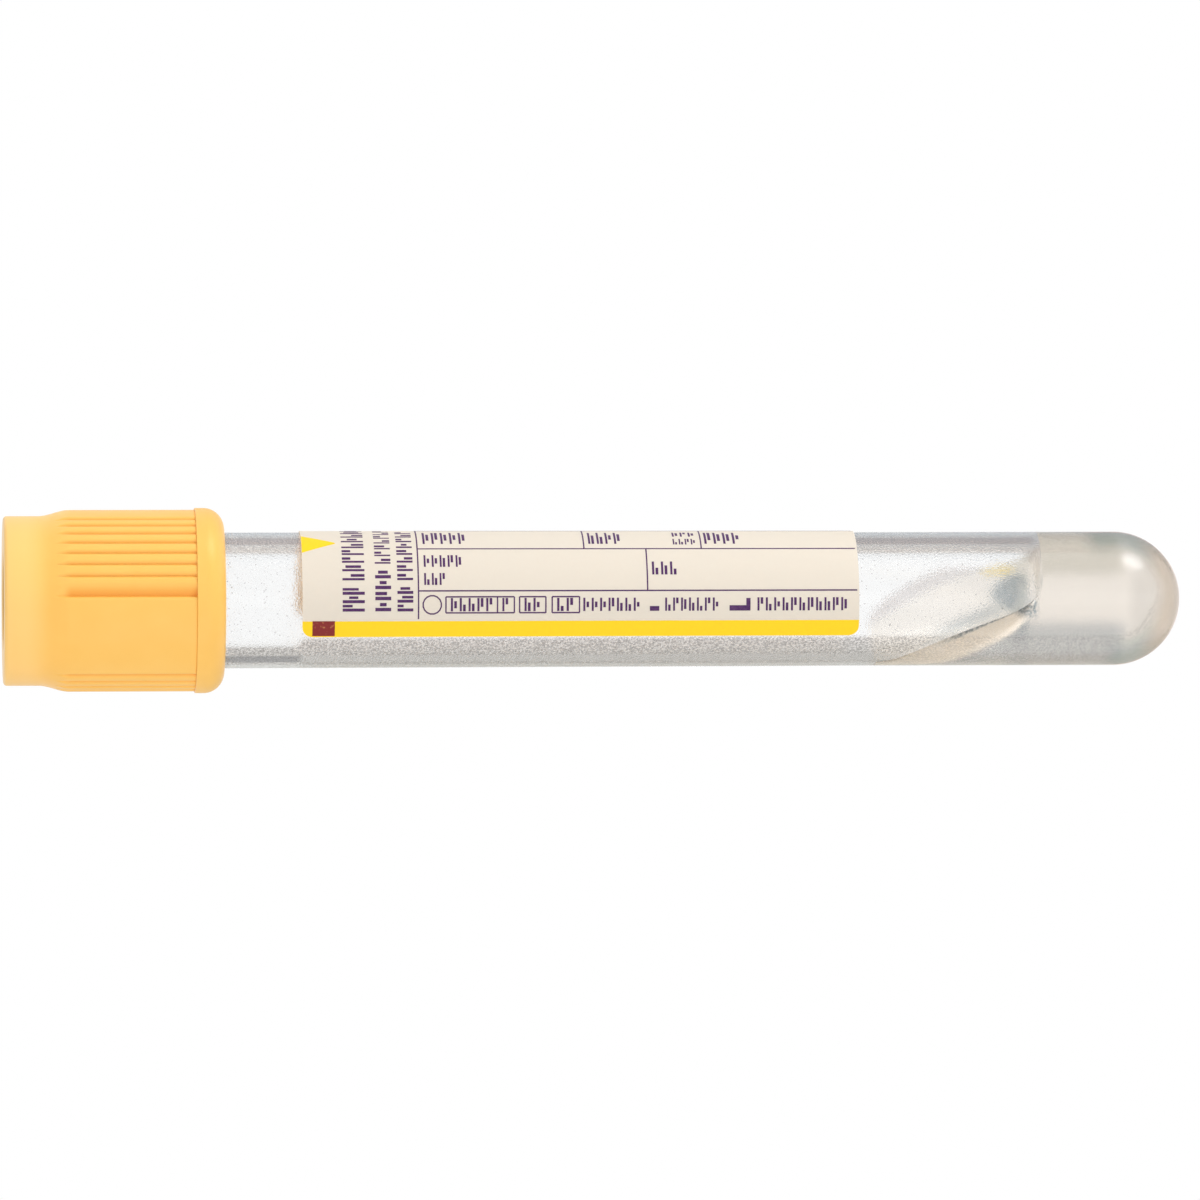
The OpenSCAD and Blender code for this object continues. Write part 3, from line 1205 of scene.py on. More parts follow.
        before_first = graph.math("LESS_THAN", facing, first)
        past_last = graph.math("GREATER_THAN", past_first, ribs * pitch)
        cut = slope * before_first + crest * (1.0 - before_first) + past_last * top
        limit = graph.math("SMOOTH_MIN", radius, cut, 0.02 * MM)

        grip = graph.node("GeometryNodeInputNamedAttribute", {"Name": "grip"}, data_type="FLOAT")
        share = graph.field(grip, "Attribute")
        scale = 1.0 + share * (limit / radius - 1.0)
        moved = graph.node("ShaderNodeCombineXYZ", {"X": x * scale, "Y": y * scale, "Z": z})
        placed = graph.node(
            "GeometryNodeSetPosition", {"Geometry": tree.entry.outputs[0], "Position": moved}
        )
        tree.close(placed, self.finish)
        return tree

    @staticmethod
    def circle_reach(graph: NodeGraph, centre: Field, bow: Field, off: Field) -> Field:
        """How far a rib's circle reaches from the axis.

        Args:
            graph: The node tree.
            centre: The circle's distance from the axis.
            bow: Its radius.
            off: The angle from its centre line in degrees.

        Returns:
            The radius at that angle.
        """
        angle = graph.math("RADIANS", off)
        side = centre * graph.math("SINE", angle)
        rise = graph.math("SQRT", graph.math("MAXIMUM", bow * bow - side * side, 0.0))
        return centre * graph.math("COSINE", angle) + rise

    def build(self) -> None:
        """Makes the shield and dresses the stopper."""
        shield = self.rib_tree().apply(self.plain_shell(), "ribbed_shield")
        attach(shield, Body.CLOSURE.value)
        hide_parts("shield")
        report(shield)
        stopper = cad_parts["stopper"]
        dress_node(stopper, self.rubber)
        report(stopper)


@dataclass(frozen=True)
class BarrelForm:
    """The tube's outline: a slight taper, a short cylinder and a round end."""

    rim_z: float
    tip_z: float
    rim_r: float
    draft: float = 0.1
    straight_l: float = 24.8
    mouth_l: float = 10.0
    wall: float = 1.0

    @classmethod
    def from_frame(cls) -> BarrelForm:
        """Takes the tube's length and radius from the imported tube."""
        low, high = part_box("tube")
        return cls(rim_z=low.z / MM, tip_z=high.z / MM, rim_r=high.x / MM)

    @property
    def end_r(self) -> float:
        """Outside radius at the round end."""
        return self.rim_r - self.draft

    @property
    def dome_z(self) -> float:
        """Height where the round end begins."""
        return self.tip_z - self.end_r

    @property
    def taper_end_z(self) -> float:
        """Height where the taper ends."""
        return self.dome_z - self.straight_l

    @property
    def mouth_end_z(self) -> float:
        """Height where the true bore for the plug ends."""
        return self.rim_z + self.mouth_l

    def outer_r(self, z: float) -> float:
        """Outside radius at a height below the round end."""
        share = (z - self.rim_z) / (self.taper_end_z - self.rim_z)
        return self.rim_r - self.draft * min(1.0, max(0.0, share))

    def bore_r(self, z: float) -> float:
        """Bore's radius at a height below the round end."""
        share = (z - self.mouth_end_z) / (self.dome_z - self.mouth_end_z)
        return self.rim_r - self.wall - self.draft * min(1.0, max(0.0, share))

    def dome(self, radius: float, steps: int) -> list[Point]:
        """The round end's quarter circle.

        Args:
            radius: Its radius in millimetres.
            steps: How many steps it has.

        Returns:
            Radius and height of each point, from the widest ring to the pole.
        """
        turns = [math.pi / 2 * k / steps for k in range(steps)]
        arc = [(radius * math.cos(t), self.dome_z + radius * math.sin(t)) for t in turns]
        return [*arc, (0.0, self.dome_z + radius)]


@dataclass
class Barrel:
    """The clear tube."""

    form: BarrelForm
    columns: int = 224
    dome_steps: int = 40
    rim_round: float = 0.22
    outside: Finish = field(default_factory=ClearPlastic)
    # The bore's face takes painted shade too, with paler lines and none on the round end.
    inside: Finish = field(
        default_factory=lambda: ClearPlastic(
            name="coated_polyester",
            line_shade=(0.6, 0.57, 0.55),
            thin_line_shade=(0.86, 0.78, 0.7),
            dome_shade=(0.985, 0.988, 0.988),
            tip_shade=(0.985, 0.988, 0.988),
            dome_rim_shade=(0.985, 0.988, 0.988),
            edge_from=0.38,
            edge_to=0.43,
            wide=0.14,
            rim_share=0.0,
            relief_size=0.17,
            relief=0.025,
        )
    )

    def walls(self) -> tuple[list[Point], list[Point]]:
        """The outer outline from the pole to the rim's middle, and the inner one back."""
        f = self.form
        bore_mouth = f.rim_r - f.wall
        corners = [
            Corner(f.end_r, f.dome_z - 0.3),
            Corner(f.end_r, f.taper_end_z + 0.5),
            Corner(f.end_r, f.taper_end_z),
            Corner(f.rim_r, f.rim_z, self.rim_round),
            Corner(bore_mouth, f.rim_z, self.rim_round),
            Corner(bore_mouth, f.mouth_end_z),
            Corner(f.bore_r(f.dome_z - 0.3), f.dome_z - 0.3),
        ]
        side = outline(corners, closed=False)
        outer_dome = f.dome(f.end_r, self.dome_steps)
        inner_dome = f.dome(f.end_r - f.wall, self.dome_steps)
        middle = next(i for i, p in enumerate(side) if p[0] < bore_mouth + f.wall / 2)
        return [*reversed(outer_dome), *side[:middle]], [*side[middle - 1:], *inner_dome]

    def build(self) -> None:
        """Makes the tube's closed shell, with the coated bore as its own surface."""
        maker = MeshMaker()
        outer, inner = self.walls()
        facings = all_round(self.columns)
        maker.add_lathe(outer, facings, 0)
        maker.add_lathe(inner, facings, 1)
        tube = maker.make("clear_tube", [self.outside, self.inside])
        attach(tube, Body.BARREL.value)
        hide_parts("tube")
        report(tube)


@dataclass
class GelPlug:
    """The serum gel in the round end, scooped out on one side."""

    form: BarrelForm
    floor: float = 13.8
    tip: float = 29.4
    tongue: float = 0.05
    clear: float = 0.03
    scoop_over: float = 0.6
    bend: float = 25.0
    lead: float = 0.4
    facing: float = 63.5
    corner: float = 4.0
    overlap: float = 0.02
    columns: int = 192
    rings: int = 56
    side_rows: int = 24
    dome_steps: int = 32
    lip_x: float = 0.6
    finish: Finish = field(default_factory=SerumGel)
    lip: Finish = field(
        default_factory=lambda: SerumGel(
            name="gel_lip", haze=(1.0, 0.95, 0.86), streak=(0.95, 0.88, 0.76), clear=0.25
        )
    )

    @property
    def floor_z(self) -> float:
        """Height of the gel's floor on the open side."""
        return self.form.tip_z - self.floor

    @property
    def tip_z(self) -> float:
        """Height of the tongue's tip."""
        return self.form.tip_z - self.tip

    def top(self, x: float, y: float) -> float:
        """Height at which the gel begins over a point of the bore's circle.

        Args:
            x: The point's place.
            y: The point's place.

        Returns:
            The height of the gel's free surface there.
        """
        bore = self.form.end_r - self.form.wall
        finger = bore + self.scoop_over
        drift = self.bend - math.sqrt(self.bend**2 - self.lead**2)
        start = finger - (bore - self.clear) + self.tongue - drift
        turn = math.radians(self.facing)
        along = -x * math.sin(turn) - y * math.cos(turn)
        across = max(0.0, x * x + y * y - along * along)
        half = math.sqrt(max(0.0, finger**2 - across))
        reach = (self.bend + half) ** 2 - (start + self.bend - along) ** 2
        slope = self.tip_z - self.lead + math.sqrt(max(0.0, reach))
        share = min(1.0, max(0.0, 0.5 + 0.5 * (slope - self.floor_z) / self.corner))
        soft = slope + (self.floor_z - slope) * share - self.corner * share * (1 - share)
        return max(self.tip_z, soft)

    def edge(self, facing: float) -> tuple[float, float]:
        """Where the free surface meets the bore.

        Args:
            facing: The facing angle.

        Returns:
            Radius and height of the contact line there.
        """
        radius = self.form.end_r - self.form.wall
        for _ in range(3):
            x, y, _height = facing_point(radius, facing, 0)
            height = self.top(x, y)
            radius = self.form.bore_r(height) + self.overlap
        return radius, height

    def build(self) -> None:
        """Makes the gel as one closed body: free surface, side and round end."""
        facings = all_round(self.columns)
        edges = [self.edge(a) for a in facings]
        rows: list[list[tuple]] = [[(0.0, 0.0, self.top(0, 0))]]
        for k in range(1, self.rings + 1):
            share = math.sin(math.pi / 2 * k / self.rings)
            row = []
            for a, (radius, _height) in zip(facings, edges):
                x, y, _zero = facing_point(radius * share, a, 0)
                row.append((x, y, self.top(x, y)))
            rows.append(row)
        for k in range(1, self.side_rows + 1):
            row = []
            for a, (_radius, height) in zip(facings, edges):
                z = height + (self.form.dome_z - height) * k / self.side_rows
                row.append(facing_point(self.form.bore_r(z) + self.overlap, a, z))
            rows.append(row)
        end_r = self.form.end_r - self.form.wall + self.overlap
        for r, z in self.form.dome(end_r, self.dome_steps)[1:]:
            rows.append([facing_point(r, a, z) for a in facings] if r else [(0.0, 0.0, z)])
        maker = MeshMaker()
        maker.add_grid(rows, Joining.RING)
        gel = maker.make("serum_gel", [self.finish, self.lip], crease=35)
        for face in gel.data.polygons:
            place = face.center / MM
            if face.normal.z < -0.02 and place.x > self.lip_x and place.y < 0.5:
                face.material_index = 1
        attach(gel, Body.BARREL.value)
        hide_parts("gel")
        report(gel)


@dataclass
class GelFilm:
    """The thin film that the gel has left on the bore behind its hollow."""

    form: BarrelForm
    gel: GelPlug
    start_z: float = 83.1
    start_x: float = 3.15
    last_x: float = -3.1
    bow: float = 0.187
    thickness: float = 0.02
    columns: int = 40
    rows: int = 10
    finish: Finish = field(default_factory=GelHaze)

    def build(self) -> None:
        """Makes the film as a thin closed slab between its bowed edge and the gel."""
        radius = self.form.end_r - self.form.wall
        columns = []
        for k in range(self.columns + 1):
            x = self.start_x + (self.last_x - self.start_x) * k / self.columns
            facing = 180.0 + math.degrees(math.asin(x / radius))
            low = self.start_z + self.bow * (self.start_x - x) ** 2
            columns.append((facing, low, max(low + 0.05, self.gel.edge(facing)[1] - 0.05)))
        under, over = (
            [
                [
                    facing_point(self.form.bore_r(z) - depth, facing, z)
                    for z in np.linspace(low, high, self.rows + 1)
                ]
                for facing, low, high in columns
            ]
            for depth in (0.005, 0.005 + self.thickness)
        )
        maker = MeshMaker()
        maker.add_slab(under, over)
        film = maker.make("gel_film", [self.finish], crease=40)
        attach(film, Body.BARREL.value)
        report(film)


@dataclass
class ActivatorCoat:
    """Dried clot activator, sprinkled over the bore down to the gel."""

    form: BarrelForm
    gel: GelPlug
    from_z: float = 20.0
    margin: float = 0.5
    density: float = 5.0
    smallest: float = 0.04
    largest: float = 0.13
    flatness: float = 0.4
    sides: int = 3
    seed: int = 7
    columns: int = 72
    rows: int = 40
    finish: Finish = field(default_factory=ActivatorFlake)

    def coated_bore(self) -> bpy.types.Object:
        """The part of the bore that the flakes lie on."""
        facings = all_round(self.columns)
        ends = [self.gel.edge(a)[1] - self.margin for a in facings]
        grid = []
        for k in range(self.rows + 1):
            row = []
            for a, end in zip(facings, ends):
                z = self.from_z + (end - self.from_z) * k / self.rows
                row.append(facing_point(self.form.bore_r(z) - 0.01, a, z))
            grid.append(row)
        maker = MeshMaker()
        maker.add_grid(grid, Joining.RING)
        return maker.make("coated_bore", [self.finish])

    def flake_tree(self) -> GeometryTree:
        """Scatters flat grains over a surface."""
        tree = GeometryTree("activator_flakes")
        graph = tree.graph
        density = tree.size("Flakes per square metre", self.density / MM**2)
        smallest = tree.size("Smallest flake", self.smallest)
        largest = tree.size("Largest flake", self.largest)
        flat = tree.size("Flatness", self.flatness)
        spread = graph.node(
            "GeometryNodeDistributePointsOnFaces",
            {"Mesh": tree.entry.outputs[0], "Density": density, "Seed": self.seed},
        )
        flake = graph.node(
            "GeometryNodeMeshCone",
            {"Vertices": self.sides, "Radius Top": 0.0, "Radius Bottom": MM, "Depth": 2 * MM},
        )
        draw = graph.field(
            graph.node("FunctionNodeRandomValue", {"Seed": self.seed}, data_type="FLOAT"), 1
        )
        size = smallest + (largest - smallest) * graph.math("POWER", draw, 3.0)
        scale = graph.node("ShaderNodeCombineXYZ", {"X": size, "Y": size, "Z": size * flat})
        scattered = graph.node(
            "GeometryNodeInstanceOnPoints",
            {
                "Points": spread.outputs["Points"],
                "Instance": flake.outputs["Mesh"],
                "Rotation": spread.outputs["Rotation"],
                "Scale": scale,
            },
        )
        tree.close(scattered, self.finish)
        return tree

    def build(self) -> None:
        """Makes the flakes as one piece."""
        flakes = self.flake_tree().apply(self.coated_bore(), "activator_flakes")
        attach(flakes, Body.BARREL.value)
        report(flakes)


Grid = list[list[Point]]


@dataclass(frozen=True)
class Word:
    """Where a run of plain blocks stands in for a printed word.

    Heights count from the label's lower edge.
    """

    low: float
    high: float
    first: float
    last: float
    reading: Reading = Reading.ALONG
    weight: float = 1.0


@dataclass(frozen=True)
class Mark:
    """One printed block: its middle and its sizes along and round the tube, in millimetres."""

    z: float
    arc: float
    along: float
    round: float
    turn: float = 0.0


@dataclass
class Label:
    """The wrapped label's paper, with its stripe, triangle and block."""

    form: BarrelForm
    from_z: float
    to_z: float
    free_edge: float = -32.0
    width: float = 25.4
    glue: float = 0.02
    thickness: float = 0.1
    corner: float = 1.0
    print_lift: float = 0.012
    step: float = 1.5
    stripe_edge: float = -17.8
    paper: Finish = field(default_factory=LabelPaper)
    yellow: Finish = field(
        default_factory=lambda: PrintInk("stripe_ink", (0.96, 0.655, 0.012), (0.95, 0.615, 0.018))
    )
    brown: Finish = field(
        default_factory=lambda: PrintInk(
            "block_ink", (0.22, 0.024, 0.022), (0.5, 0.2, 0.08), worn_from=0.56, worn_to=0.72
        )
    )

    @classmethod
    def from_frame(cls, form: BarrelForm) -> Label:
        """Takes the label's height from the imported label."""
        low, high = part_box("label")
        return cls(form=form, from_z=low.z / MM, to_z=high.z / MM)

    @property
    def face(self) -> float:
        """How far the paper's face stands out from the tube."""
        return self.glue + self.thickness

    @property
    def face_r(self) -> float:
        """Radius of the paper's face at the round end of the tube."""
        return self.form.end_r + self.face

    @property
    def far_edge(self) -> float:
        """Facing angle of the label's other edge."""
        return self.free_edge + math.degrees(self.width / self.form.end_r)

    def inset(self, z: float) -> float:
        """How far the round corners draw an edge in.

        Args:
            z: The height.

        Returns:
            The distance in degrees.
        """
        near = min(z - self.from_z, self.to_z - z)
        if near >= self.corner:
            return 0.0
        gone = self.corner - math.sqrt(max(0.0, self.corner**2 - (self.corner - near) ** 2))
        return math.degrees(gone / self.form.end_r)

    def heights(self, low: float, high: float) -> list[float]:
        """Heights of a patch's rows, close at the label's round corners.

        Args:
            low: The patch's lower end.
            high: Its upper end.

        Returns:
            The heights in order.
        """
        fine = [self.corner * (1 - math.cos(math.pi / 2 * k / 8)) for k in range(9)]
        wanted = [self.from_z + d for d in fine] + [self.to_z - d for d in fine]
        inside = [z for z in wanted if low + 1e-6 < z < high - 1e-6]
        return sorted([low, high, *inside])

    def patch(self, z0: float, z1: float, a0: float, a1: float) -> Grid:
        """A rectangle on the label, its edges drawn in at the label's round corners.

        Args:
            z0: Its lowest height.
            z1: Its highest height.
            a0: The facing angle of its first edge.
            a1: The facing angle of its other edge.

        Returns:
            Its points as rows of height and facing angle.
        """
        count = max(1, math.ceil((a1 - a0) / self.step))
        grid = []
        for z in self.heights(z0, z1):
            first = max(a0, self.free_edge + self.inset(z))
            last = min(a1, self.far_edge - self.inset(z))
            grid.append([(z, first + (last - first) * k / count) for k in range(count + 1)])
        return grid

    def add_patch(self, maker: MeshMaker, grid: Grid, low: float, high: float) -> None:
        """Adds a thin slab that follows the tube.

        Args:
            maker: What collects the mesh.
            grid: Rows of height and facing angle.
            low: Where the slab begins over the tube's surface.
            high: Where it ends.
        """
        under, over = (
            [[facing_point(self.form.outer_r(z) + lift, a, z) for z, a in row] for row in grid]
            for lift in (low, high)
        )
        maker.add_slab(under, over)

    def wedge(self, z0: float, z1: float, a0: float, a1: float) -> Grid:
        """A triangle with a blunt point.

        Args:
            z0: Height of its base.
            z1: Height of its point.
            a0: Facing angle of one end of the base.
            a1: Facing angle of the other end.

        Returns:
            Rows of heights and facing angles.
        """
        middle = (a0 + a1) / 2
        count = 6
        grid = []
        for share in (0.0, 0.25, 0.5, 0.75, 0.94):
            low, high = (a + (middle - a) * share for a in (a0, a1))
            z = z0 + (z1 - z0) * share
            grid.append([(z, low + (high - low) * k / count) for k in range(count + 1)])
        return grid

    def make(self, maker: MeshMaker, name: str, finish: Finish) -> bpy.types.Object:
        """Makes one piece of the tube's body."""
        piece = maker.make(name, [finish], crease=40)
        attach(piece, Body.BARREL.value)
        report(piece)
        return piece

    def build(self) -> None:
        """Makes the paper, its stripe with the triangle, and its brown block."""
        sheet = MeshMaker()
        whole = self.patch(self.from_z, self.to_z, self.free_edge, self.far_edge)
        self.add_patch(sheet, whole, self.glue, self.face)
        paper = self.make(sheet, "label_paper", self.paper)
        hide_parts("label")
        stripe = MeshMaker()
        low, high = self.face - self.print_lift, self.face + self.print_lift
        edge = self.patch(self.from_z, self.to_z, self.free_edge, self.stripe_edge)
        self.add_patch(stripe, edge, low, high)
        triangle = self.wedge(self.from_z + 0.02, self.from_z + 3.4, 43.0, 67.0)
        self.add_patch(stripe, triangle, low, high)
        self.make(stripe, "label_stripe", self.yellow)
        block = MeshMaker()
        inner = self.patch(self.from_z + 0.95, self.from_z + 3.08, -31.0, -17.6)
        self.add_patch(block, inner, self.face, self.face + 2 * self.print_lift)
        self.make(block, "label_block", self.brown)


@dataclass
class LabelPrint:
    """The label's plain print: ruled boxes, frames, and runs of small blocks for words."""

    label: Label
    rule: float = 0.13
    pitch: float = 0.62
    upright: float = 0.24
    filler: float = 0.3
    ring_size: float = 0.86
    ring_parts: int = 16
    height: float = 0.024
    box_from: float = 11.0
    box_to: float = 52.8
    box_edges: tuple[float, ...] = (7.5, 47.5, 86.0)
    long_arc: float = 2.2
    seed: int = 11
    ink: Finish = field(
        default_factory=lambda: PrintInk("print_ink", (0.045, 0.01, 0.08), (0.12, 0.05, 0.14))
    )

    def arc(self, facing: float) -> float:
        """A facing angle as a length round the label."""
        return math.radians(facing) * self.label.face_r

    def block(self, low: float, high: float, first: float, last: float) -> Mark:
        """A rectangle from one height and arc to another."""
        return Mark((low + high) / 2, (first + last) / 2, high - low, last - first)

    def line_round(self, height: float, first: float, last: float) -> Mark:
        """A thin line round the label between two facing angles."""
        half = self.rule / 2
        return self.block(height - half, height + half, self.arc(first), self.arc(last))

    def line_along(self, facing: float, low: float, high: float) -> Mark:
        """A thin line along the label at a facing angle."""
        middle = self.arc(facing)
        return self.block(low, high, middle - self.rule / 2, middle + self.rule / 2)

    def frame(self, low: float, high: float, first: float, last: float) -> list[Mark]:
        """A thin frame's four lines."""
        ends = [self.line_round(z, first, last) for z in (low, high)]
        return ends + [self.line_along(a, low, high) for a in (first, last)]

    def rules(self) -> list[Mark]:
        """The boxes' lines."""
        low, middle, high = self.box_edges
        lines = [self.line_along(a, self.box_from, self.box_to) for a in self.box_edges]
        lines.append(self.line_round(self.box_from, -16.0, high + 9.0))
        lines += [self.line_round(z, middle, high) for z in (26.9, 38.1)]
        lines.append(self.line_round(32.8, low, middle))
        return lines

    def foot_row(self) -> list[Mark]:
        """Marks of the row under the boxes that aren't words: a ring, frames and a block."""
        low, high = -10.8, 2.5
        marks = []
        for k in range(self.ring_parts):
            turn = 2 * math.pi * k / self.ring_parts
            length = 2 * math.pi * self.ring_size / self.ring_parts
            marks.append(Mark(
                12.3 + self.ring_size * math.cos(turn),
                self.arc(-4.1) + self.ring_size * math.sin(turn),
                self.rule, length * 1.15, -turn,
            ))
        for start, end in ((13.6, 20.1), (20.6, 23.1), (23.7, 26.3)):
            marks += self.frame(start, end, low, high)
        marks.append(self.line_round(18.5, low, high))
        marks.append(self.block(40.6, 42.6, self.arc(-9.5), self.arc(-5.0)))
        marks.append(self.block(42.2, 42.6, self.arc(-5.0), self.arc(1.0)))
        marks.append(self.block(33.0, 33.9, self.arc(-9.5), self.arc(-5.5)))
        return marks

    def words(self) -> list[Word]:
        """The words' places: captions in the boxes, three headings round the tube, the foot row."""
        upper, foot = (54.0, 75.5), (-9.5, 1.5)
        heading = Reading.ROUND
        return [
            *(Word(low, high, *upper) for low, high in ((11.5, 15.8), (27.3, 30.6), (38.4, 42.0))),
            Word(35.4, 37.7, 53.0, 61.5),
            Word(35.4, 37.7, 66.0, 76.0),
            Word(11.5, 15.3, 28.5, 40.2),
            Word(11.5, 13.7, 12.5, 22.8),
            Word(33.2, 35.8, 21.2, 33.3),
            *(
                Word(low, high, *foot)
                for low, high in ((14.0, 18.2), (18.9, 19.7), (21.0, 22.7), (24.1, 25.9),
                                  (26.6, 32.2), (34.4, 39.7), (43.2, 52.0))
            ),
            Word(3.8, 5.9, -10.0, 10.8, heading, 1.5),
            Word(3.8, 5.9, 15.9, 88.0, heading),
            Word(6.9, 8.4, -10.0, 26.6, heading, 1.3),
            Word(6.9, 8.4, 31.0, 85.0, heading, 0.8),
            Word(9.0, 10.5, -10.0, 11.7, heading, 1.4),
            Word(9.0, 10.5, 16.0, 80.0, heading),
        ]

    def word_marks(self, word: Word, draw: random.Random) -> list[Mark]:
        """Breaks a word into cells, each an upright and a shorter block.

        Args:
            word: The word's place.
            draw: Where the blocks' sizes are drawn from.

        Returns:
            Its blocks.
        """
        along = word.reading is Reading.ALONG
        run = (word.low, word.high)
        across = (self.arc(word.first), self.arc(word.last))
        if not along:
            run, across = across, run
        (start, end), (foot, top) = run, across
        tall = top - foot if along else abs(top - foot)
        cells = max(1, round((end - start) / (self.pitch * min(tall, 1.5))))
        cell = (end - start) / cells
        marks = []
        for k in range(cells):
            left = start + k * cell + 0.08 * cell
            right = left + self.upright * word.weight * cell
            spans = [(left, right, foot, top)]
            share = draw.uniform(0.35, 0.75)
            base = draw.choice((foot, top - share * tall, foot + (1 - share) * tall / 2))
            left = right + 0.14 * cell
            spans.append((left, left + self.filler * cell, base, base + share * tall))
            for a, b, c, d in spans:
                marks.append(self.block(a, b, c, d) if along else self.block(c, d, a, b))
        return marks

    def points(self) -> bpy.types.Object:
        """One loose point a mark, laid out flat, with its sizes and turn."""
        draw = random.Random(self.seed)
        marks = [*self.rules(), *self.foot_row()]
        for word in self.words():
            marks += self.word_marks(word, draw)
        mesh = bpy.data.meshes.new("print_points")
        places = [(0.0, m.arc * MM, (self.label.from_z + m.z) * MM) for m in marks]
        mesh.from_pydata(places, [], [])
        sizes = [c * MM for m in marks for c in (self.height, m.round, m.along)]
        mesh.attributes.new("size", "FLOAT_VECTOR", "POINT").data.foreach_set("vector", sizes)
        turns = [m.turn for m in marks]
        mesh.attributes.new("turn", "FLOAT", "POINT").data.foreach_set("value", turns)
        bent = [m.round > self.long_arc for m in marks]
        mesh.attributes.new("bent", "BOOLEAN", "POINT").data.foreach_set("value", bent)
        made = bpy.data.objects.new("print_points", mesh)
        bpy.context.scene.collection.objects.link(made)
        return made

    def tree(self) -> GeometryTree:
        """Puts a block on each point, and wraps the flat layout round the tube."""
        form = self.label.form
        tree = GeometryTree("label_print")
        graph = tree.graph
        rim_z = tree.size("Rim height", form.rim_z * MM)
        taper_end = tree.size("Taper's end height", form.taper_end_z * MM)
        rim_face_r = (form.rim_r + self.label.face) * MM
        face_r = tree.size("Radius of the paper's face at the rim", rim_face_r)
        draft = tree.size("Draft in radius", form.draft * MM)
        flat_r = tree.size("Radius that the layout is measured at", self.label.face_r * MM)
        named = {
            name: graph.node("GeometryNodeInputNamedAttribute", {"Name": name}, data_type=kind)
            for name, kind in (("size", "FLOAT_VECTOR"), ("turn", "FLOAT"), ("bent", "BOOLEAN"))
        }
        spin = graph.node("ShaderNodeCombineXYZ", {"X": named["turn"]})
        straight = graph.node("FunctionNodeBooleanMath", {0: named["bent"]}, operation="NOT")
        layers = graph.node("GeometryNodeJoinGeometry")
        for chosen, spans in ((straight, 6), (named["bent"], 64)):
            block = graph.node(
                "GeometryNodeMeshCube", {"Size": (1.0, 1.0, 1.0), "Vertices Y": spans}
            )
            placed = graph.node(
                "GeometryNodeInstanceOnPoints",
                {
                    "Points": tree.entry.outputs[0],
                    "Selection": chosen,
                    "Instance": block,
                    "Rotation": spin,
                    "Scale": named["size"],
                },
            )
            graph.tree.links.new(placed.outputs[0], layers.inputs[0])
        real = graph.node("GeometryNodeRealizeInstances", {"Geometry": layers})
        parts = graph.node("ShaderNodeSeparateXYZ", {0: graph.node("GeometryNodeInputPosition")})
        lift, arc, z = (graph.field(parts, axis) for axis in "XYZ")
        share = graph.math("MINIMUM", (z - rim_z) / (taper_end - rim_z), 1.0)
        radius = face_r - draft * share + lift
        angle = arc / flat_r
        wrapped = graph.node(
            "ShaderNodeCombineXYZ",
            {
                "X": radius * graph.math("SINE", angle) * -1.0,
                "Y": radius * graph.math("COSINE", angle) * -1.0,
                "Z": z,
            },
        )
        moved = graph.node("GeometryNodeSetPosition", {"Geometry": real, "Position": wrapped})
        tree.close(moved, self.ink, smooth=False)
        return tree

    def build(self) -> None:
        """Makes the print as one piece."""
        marks = self.tree().apply(self.points(), "label_print")
        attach(marks, Body.BARREL.value)
        report(marks)


# ---------------------------------------------------------------- studio


@dataclass(frozen=True)
class SideCard:
    """A plain card that stands on one side and shows in glass and gel.

    Its edges are angles from straight behind the tube: where it begins, from clear to full, and
    where it ends, from full to clear.
    """

    tone: Colour
    begins: Point = (11.0, 14.0)
    ends: Point = (60.0, 79.0)


